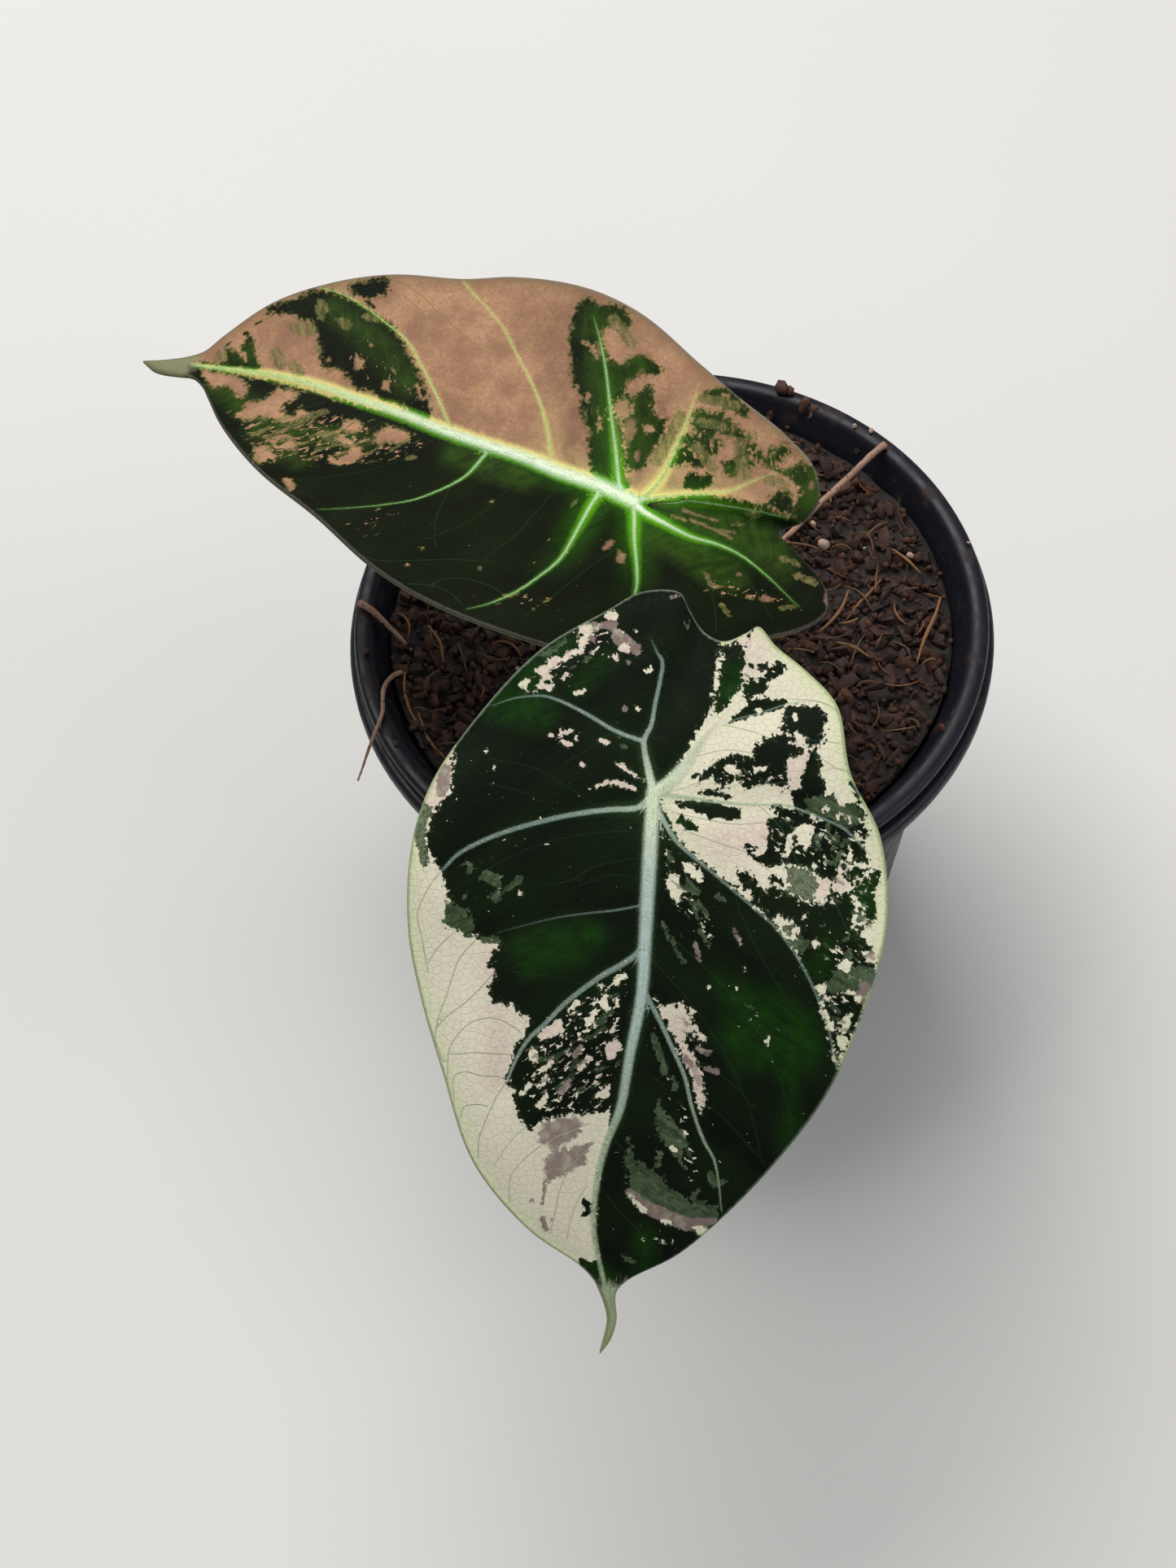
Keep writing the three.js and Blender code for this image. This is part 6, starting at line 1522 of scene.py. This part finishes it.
    ("grey", 0, 50, -8, 53, -7, 56, -6.5, 57, -8, 55.5, -9.5, 53, -9.5, 50.5, -9.5),
    ("pale", 0.7, 51, -8.2, 53, -8),
    ("pale", 0, 65.5, 0.4, 70, 0.4, 70.5, -2, 72, -4, 74, -5, 73.5, -7, 74, -9, 72, -9.5, 70, -9,
     69.5, -7.5, 68, -7.5, 65, -7.8, 63.4, -7.2, 61.5, -4, 63.5, -3, 64, -5.6, 66.5, -5, 67, -3,
     66, -1),
    ("pale", 0, 75.5, -1.5, 78, 0.6, 82, 0.8, 87, 0.4, 84, -2.2, 82, -3, 80, -2, 78, -3,
     76, -4.5, 75, -3.5),
    ("deep", 0, 63, -1, 65.5, -1.5, 66.5, -3.5, 66, -5.5, 64.5, -5.5, 64, -3.5, 63, -2),
    ("deep", 0, 71, 1, 73, 1, 75.5, 0, 75, -3, 73.5, -4, 71.5, -3.5, 71, -1.5),
    ("deep", 0, 76.5, -4, 79, -2.5, 80.5, -3, 81, -4.5, 79.5, -6.5, 77.5, -9, 75.5, -10,
     75.5, -6),
    ("pale", 0, 59.5, -12, 61, -11, 61.5, -10.5, 63.5, -11, 64, -12.5, 65.5, -12, 65, -13.5,
     63.5, -13.5, 63, -14.5, 61.5, -15, 60, -14.5, 59, -13),
    ("deep", 0.7, 62, -12.4, 62.2, -13.4),
    ("pale", 0, 62, -16, 64, -15, 66, -15.5, 65, -17.5, 63.5, -19.5, 62, -20, 61, -19, 60, -18.5,
     60.5, -17), ("deep", 0.6, 61, -18.6),
    ("pale", 0, 52.5, -24, 54.5, -22, 55.8, -22.5, 54, -24.5, 52.5, -25.5),
    ("grey", 0.8, 59, -2.4, 61, -4.6, 62, -8), ("grey", 0.6, 66, -10, 68, -13),
    ("grey", 0.5, 39, -7, 40, -8),
    ("mauve", 0, -3.8, -12.6, -2.4, -12.4, -3.4, -15.4, -4.4, -15),
    ("mauve", 0.4, -0.6, -11, -0.4, -13.4), ("mauve", 0.6, -29, -8.6, -28, -9.4),
    ("grey", 0.5, -33, -7.6, -31.4, -9.4), ("mauve", 0.9, -38.4, -3, -37.2, 0.4),
    ("grey", 0.7, -34.6, -0.6, -31.4, -1), ("grey", 0.6, -30.4, 1.2, -28, 1),
    ("grey", 0.4, -19.4, -12, -17.4, -9.4), ("grey", 0.5, -24.4, -17, -22.6, -15.4),
    ("mauve", 0.4, -22.4, -6.3), ("grey", 0.4, 3.6, -34.4), ("grey", 0.5, 7.6, -31.6, 8.8, -33),
    ("pale", 0.3, 15.6, -29), ("pale", 0.3, 25.8, -29.5), ("pale", 0.35, 25.8, -34.4),
    ("pale", 0.25, 21.3, -12.4), ("grey", 0.35, 8.9, -4.4, 8.8, -6.4),
    ("grey", 0.4, -20.4, 7.4, -18.6, 7), ("grey", 0.4, 36.6, -23.8),
]
BACK_LEAF["moods"] = [
    ("bright", 0, -27, 5, -20, 8, -10, 5, -3, 1.2, -10, -2, -20, -1.2, -30, -3, -30, 1),
    ("bright", 5, -6, 20, -13, 15, -23, 17), ("bright", 3, 6, 14, 12, 26, 20, 28),
    ("bright", 4, -20, -8, -6, -4), ("bright", 3, 20, -4, 32, -3),
    ("bright", 3, -28, 13, -24, 18, -15, 15), ("bright", 3.5, 4, 5, 9, 12, 15, 22),
    ("bright", 2.5, 2, 8, 4, 15), ("bright", 2, -5, 15, -5, 23),
    ("bright", 1.6, 56, -17, 68, -11), ("bright", 2, 47, 7, 56, 13, 66, 17),
    ("bright", 2.5, 50, -7, 62, -9, 73, -6, 81, -2), ("bright", 2, 70, 6, 82, 6),
    ("speckle", 0, 38, -2, 48, -2, 58, -2, 66, -4, 76, -6, 70, -14, 62, -19, 54, -17, 46, -13,
     40, -9), ("speckle", 1.3, 44, 5, 52, 9, 60, 9), ("speckle", 4, -22, 18, -10, 16, -6, 12),
    ("speckle", 2.5, 9, 18, 12, 13), ("speckle", 2, -30, -8, -20, -12),
    ("speckle", 1.5, 3, -32, 9, -33), ("speckle", 1.5, 34, -24, 36, -30),
    ("blush", 2, 70, 16, 72, 12), ("blush", 4, 13, 8, 19, 17, 27, 25),
]
# fringe, fringe_pale and glow are painted light shining through the blade beside the veins.
BACK_TINTS = {
    "deep": "#080d02", "deep_light": "#101705", "bright": "#2b420f", "pale": "#b08868",
    "pale_cool": "#84704a", "blush": "#85604e", "grey": "#4f522b", "grey_light": "#84774c",
    "mauve": "#7e5d4a", "vein": "#8cb67a", "midrib": "#dcead0", "pale_vein": "#a9c26b",
    "home_vein": "#e2f2d0", "fine_pale": "#8b7a40", "fine_deep": "#2a4422",
    "edge_deep": "#4e4b42", "edge_pale": "#776b59", "tip": "#5f6344", "tip_light": "#7f8062",
    "under": "#6c7d4c", "fringe": "#5ba414", "fringe_pale": "#dcd47c", "glow": "#2a5c08",
    "lace": "#5a5a2c",
}
BACK_FEEL = {
    "blur": 0.3, "rag": 3.6, "home": 31, "fringe": 0.85, "fringe_reach": 0.8, "glow": 0.75,
    "soft": 0.95, "lace": 0.3, "mottle": 0.45, "cloud": 0.75, "mist": 0.7, "rim": 0.3,
    "dusk": 0.15,
}
piece(
    "back_leaf", blade("back_leaf", BACK_LEAF),
    velvet_skin("salmon_velvet_leaf", BACK_TINTS, BACK_FEEL), "pink_blade", "back_blade")


# Petioles
# The two round green leaf stalks. Each grows out of the rhizome with an open sheath at its
# foot, thins upwards, and runs into the ribs under its blade.
PETIOLES = {
    "front": ([(0.3, -3.6, 88), (0, -7, 104), (-1.5, -22, 119), (-4.3, -48, 138)], FRONT_LEAF),
    "back": ([(-0.3, 3.6, 88), (0.2, 4, 104), (-0.6, 0.5, 122), (-4.2, -6.6, 135)], BACK_LEAF),
}
STALK_RADII = [3.1, 2.72, 2.4, 2.2, 2.08, 2.02, 2.0, 2.0, 2.1]
STALK_STEPS, STALK_SIDES = 90, 28
STALK_SUNK = 1.2


def sheathed(turn, share):
    """The open sheath: a groove between two lips that fade out up the stalk."""
    foot = max(0.0, 1 - share / 0.4) ** 0.7
    lips = math.exp(-((abs(math.remainder(turn, 2 * math.pi)) - 0.75) / 0.28) ** 2)
    groove = math.exp(-(math.remainder(turn, 2 * math.pi) / 0.5) ** 2)
    return 1 + foot * (0.2 * lips - 0.22 * groove) + 0.015 * math.sin(7 * turn)


def stalk_skin():
    """Waxy pale green with fine brown-red streaks that thicken towards the foot."""
    f = Finish("streaked_green_stalk", Roughness=0.42, Coat_Weight=0.08)
    place = f.place()
    height = f.parts(place)[2]
    streak = f.noise(f.place((1, 1, 0.12)), 0.0007, 4, 0.2)
    tone = f.mix(f.ramp(height, 0.09, 0.15), "#7d8f58", "#a3b483")
    tone = f.mix(f.ramp(streak, 0.52, 0.7, 0, 0.7), tone, "#6e4a3a")
    tone = f.mix(f.ramp(height, 0.09, 0.104, 0.6, 0), tone, "#a98f6c")
    fleck = f.ramp(f.noise(place, 0.0012, 4), 0.62, 0.68)
    tone = f.mix(f.times(fleck, 0.5), tone, "#c9b7a0")
    return f.done(tone, f.ramp(streak, 0.3, 0.7, 0.36, 0.52), f.bump(streak, 0.1, 0.5))


stalk_finish = stalk_skin()
for name, (route, leaf) in PETIOLES.items():
    place, facing = laid(leaf, np.zeros(1), np.zeros(1))
    top = place[0] - STALK_SUNK * facing[0]
    path = evenly(smooth_line([*route, top]), STALK_STEPS)
    stalk = bmesh.new()
    stem(stalk, path, STALK_RADII, STALK_SIDES, sheathed)
    piece(name + "_stalk", grown(stalk), stalk_finish, "petiole_skin", name + "_petiole")


# Stray roots
# Dry surface roots: one lies on the mix from the right of the lip, a short one on the left,
# and a hair-thin one climbs over the lip and hangs outside.
ROOT_STEPS, ROOT_SIDES = 70, 12
STRAY_ROOTS = {
    "right": ([0.65, 0.62, 0.55, 0.45], [
        (44.9, 36.2, 95.95), (42.8, 34.6, 95.75), (36.5, 30, 93.3), (30.6, 25.4, 91.9),
        (24.5, 20, 90.5), (18, 15.5, 89.3)]),
    "left": ([0.65, 0.55, 0.4], [
        (-58.6, 7.4, 96.1), (-56.6, 5.9, 95.9), (-54.4, 4.1, 94.3), (-51.6, 1.8, 91.8),
        (-49.4, 0, 89.6)]),
    "trailing": ([0.45, 0.42, 0.3, 0.16], [
        (-50.6, -4.6, 89.9), (-53.2, -8, 92.8), (-54.6, -13, 95.8), (-54.9, -18, 95.9),
        (-56.5, -22.3, 95.5), (-58.1, -23.9, 92.2), (-59.5, -24.5, 88), (-60.9, -24.6, 83.6)]),
}


def root_skin():
    """Dry tan root bark with a pinkish core showing, ringed and dusty."""
    f = Finish("dry_root_bark", Roughness=0.7)
    place = f.place()
    patch = f.noise(place, 0.003, 4)
    tone = f.mix(patch, "#7c5a45", "#b08c78")
    tone = f.mix(f.ramp(f.noise(place, 0.0009, 4), 0.58, 0.7), tone, "#4a3122")
    rough = f.ramp(patch, 0.3, 0.7, 0.55, 0.8)
    return f.done(tone, rough, f.bump(f.noise(place, 0.0004, 4), 0.15, 0.7))


root_finish = root_skin()
for name, (radii, path) in STRAY_ROOTS.items():
    root = bmesh.new()
    stem(root, evenly(smooth_line(path), ROOT_STEPS), radii, ROOT_SIDES)
    roughened(root, 2.2, radii[0] * 0.16)
    piece(name + "_root", grown(root), root_finish, "dry_root", "root_" + name)


# Studio
# A plain pale table, a broad soft light above and behind, and a weaker one in front. The
# camera looks down on the plant as the photographer did.
def table_top():
    """Smooth pale board with the faintest cloud in it."""
    f = Finish("pale_table", Roughness=0.75)
    tone = f.mix(f.noise(f.place(), 0.3, 3), "#cfcdc9", "#d8d6d2")
    return f.done(tone)


table_mesh = bmesh.new()
bmesh.ops.create_grid(table_mesh, x_segments=1, y_segments=1, size=4)
table_data = bpy.data.meshes.new("table")
table_mesh.to_mesh(table_data)
table_mesh.free()
table_data.materials.append(table_top())
table = bpy.data.objects.new("table", table_data)
bpy.context.scene.collection.objects.link(table)


def softbox(name, place, aim, size, watts, tint):
    """A square soft light, in metres and watts, turned towards its aim."""
    lamp = bpy.data.lights.new(name, "AREA")
    lamp.size, lamp.energy, lamp.color = size, watts, tint
    box = bpy.data.objects.new(name, lamp)
    box.location = place
    box.rotation_euler = (Vector(aim) - Vector(place)).to_track_quat("-Z", "Y").to_euler()
    bpy.context.scene.collection.objects.link(box)


PLANT_MIDDLE = (0, -0.03, 0.1)
softbox("top_light", (-0.25, 0.45, 1.1), PLANT_MIDDLE, 0.9, 15, (1.0, 0.99, 0.97))
softbox("side_light", (0.9, -0.5, 0.8), PLANT_MIDDLE, 0.8, 5, (0.95, 0.97, 1.0))
bpy.context.scene.view_settings.view_transform = "Standard"

world = bpy.data.worlds.new("studio_air")
world.use_nodes = True
sky = world.node_tree.nodes["Background"].inputs
sky["Color"].default_value = (0.9, 0.93, 1.0, 1)
sky["Strength"].default_value = 0.28
bpy.context.scene.world = world

# The camera's place, how far it looks down from level, its roll, and its view upright.
CAMERA_PLACE = (-17.9, -323.4, 544.4)
CAMERA_DOWN = math.radians(57.45)
CAMERA_ROLL = math.radians(-4.33)
CAMERA_VIEW = math.radians(30)
lens = bpy.data.cameras.new("camera")
lens.sensor_width = 36
lens.lens = lens.sensor_width / 2 / math.tan(CAMERA_VIEW / 2)
lens.clip_start, lens.clip_end = 0.01, 20
right = Vector((1, 0, 0))
upright = Vector((0, math.sin(CAMERA_DOWN), math.cos(CAMERA_DOWN)))
ahead = Vector((0, math.cos(CAMERA_DOWN), -math.sin(CAMERA_DOWN)))
turned_right = math.cos(CAMERA_ROLL) * right + math.sin(CAMERA_ROLL) * upright
turned_up = math.cos(CAMERA_ROLL) * upright - math.sin(CAMERA_ROLL) * right
camera = bpy.data.objects.new("camera", lens)
camera.matrix_world = Matrix.Translation(Vector(CAMERA_PLACE) * MM) @ Matrix(
    (turned_right, turned_up, -ahead)).transposed().to_4x4()
bpy.context.scene.collection.objects.link(camera)
bpy.context.scene.camera = camera
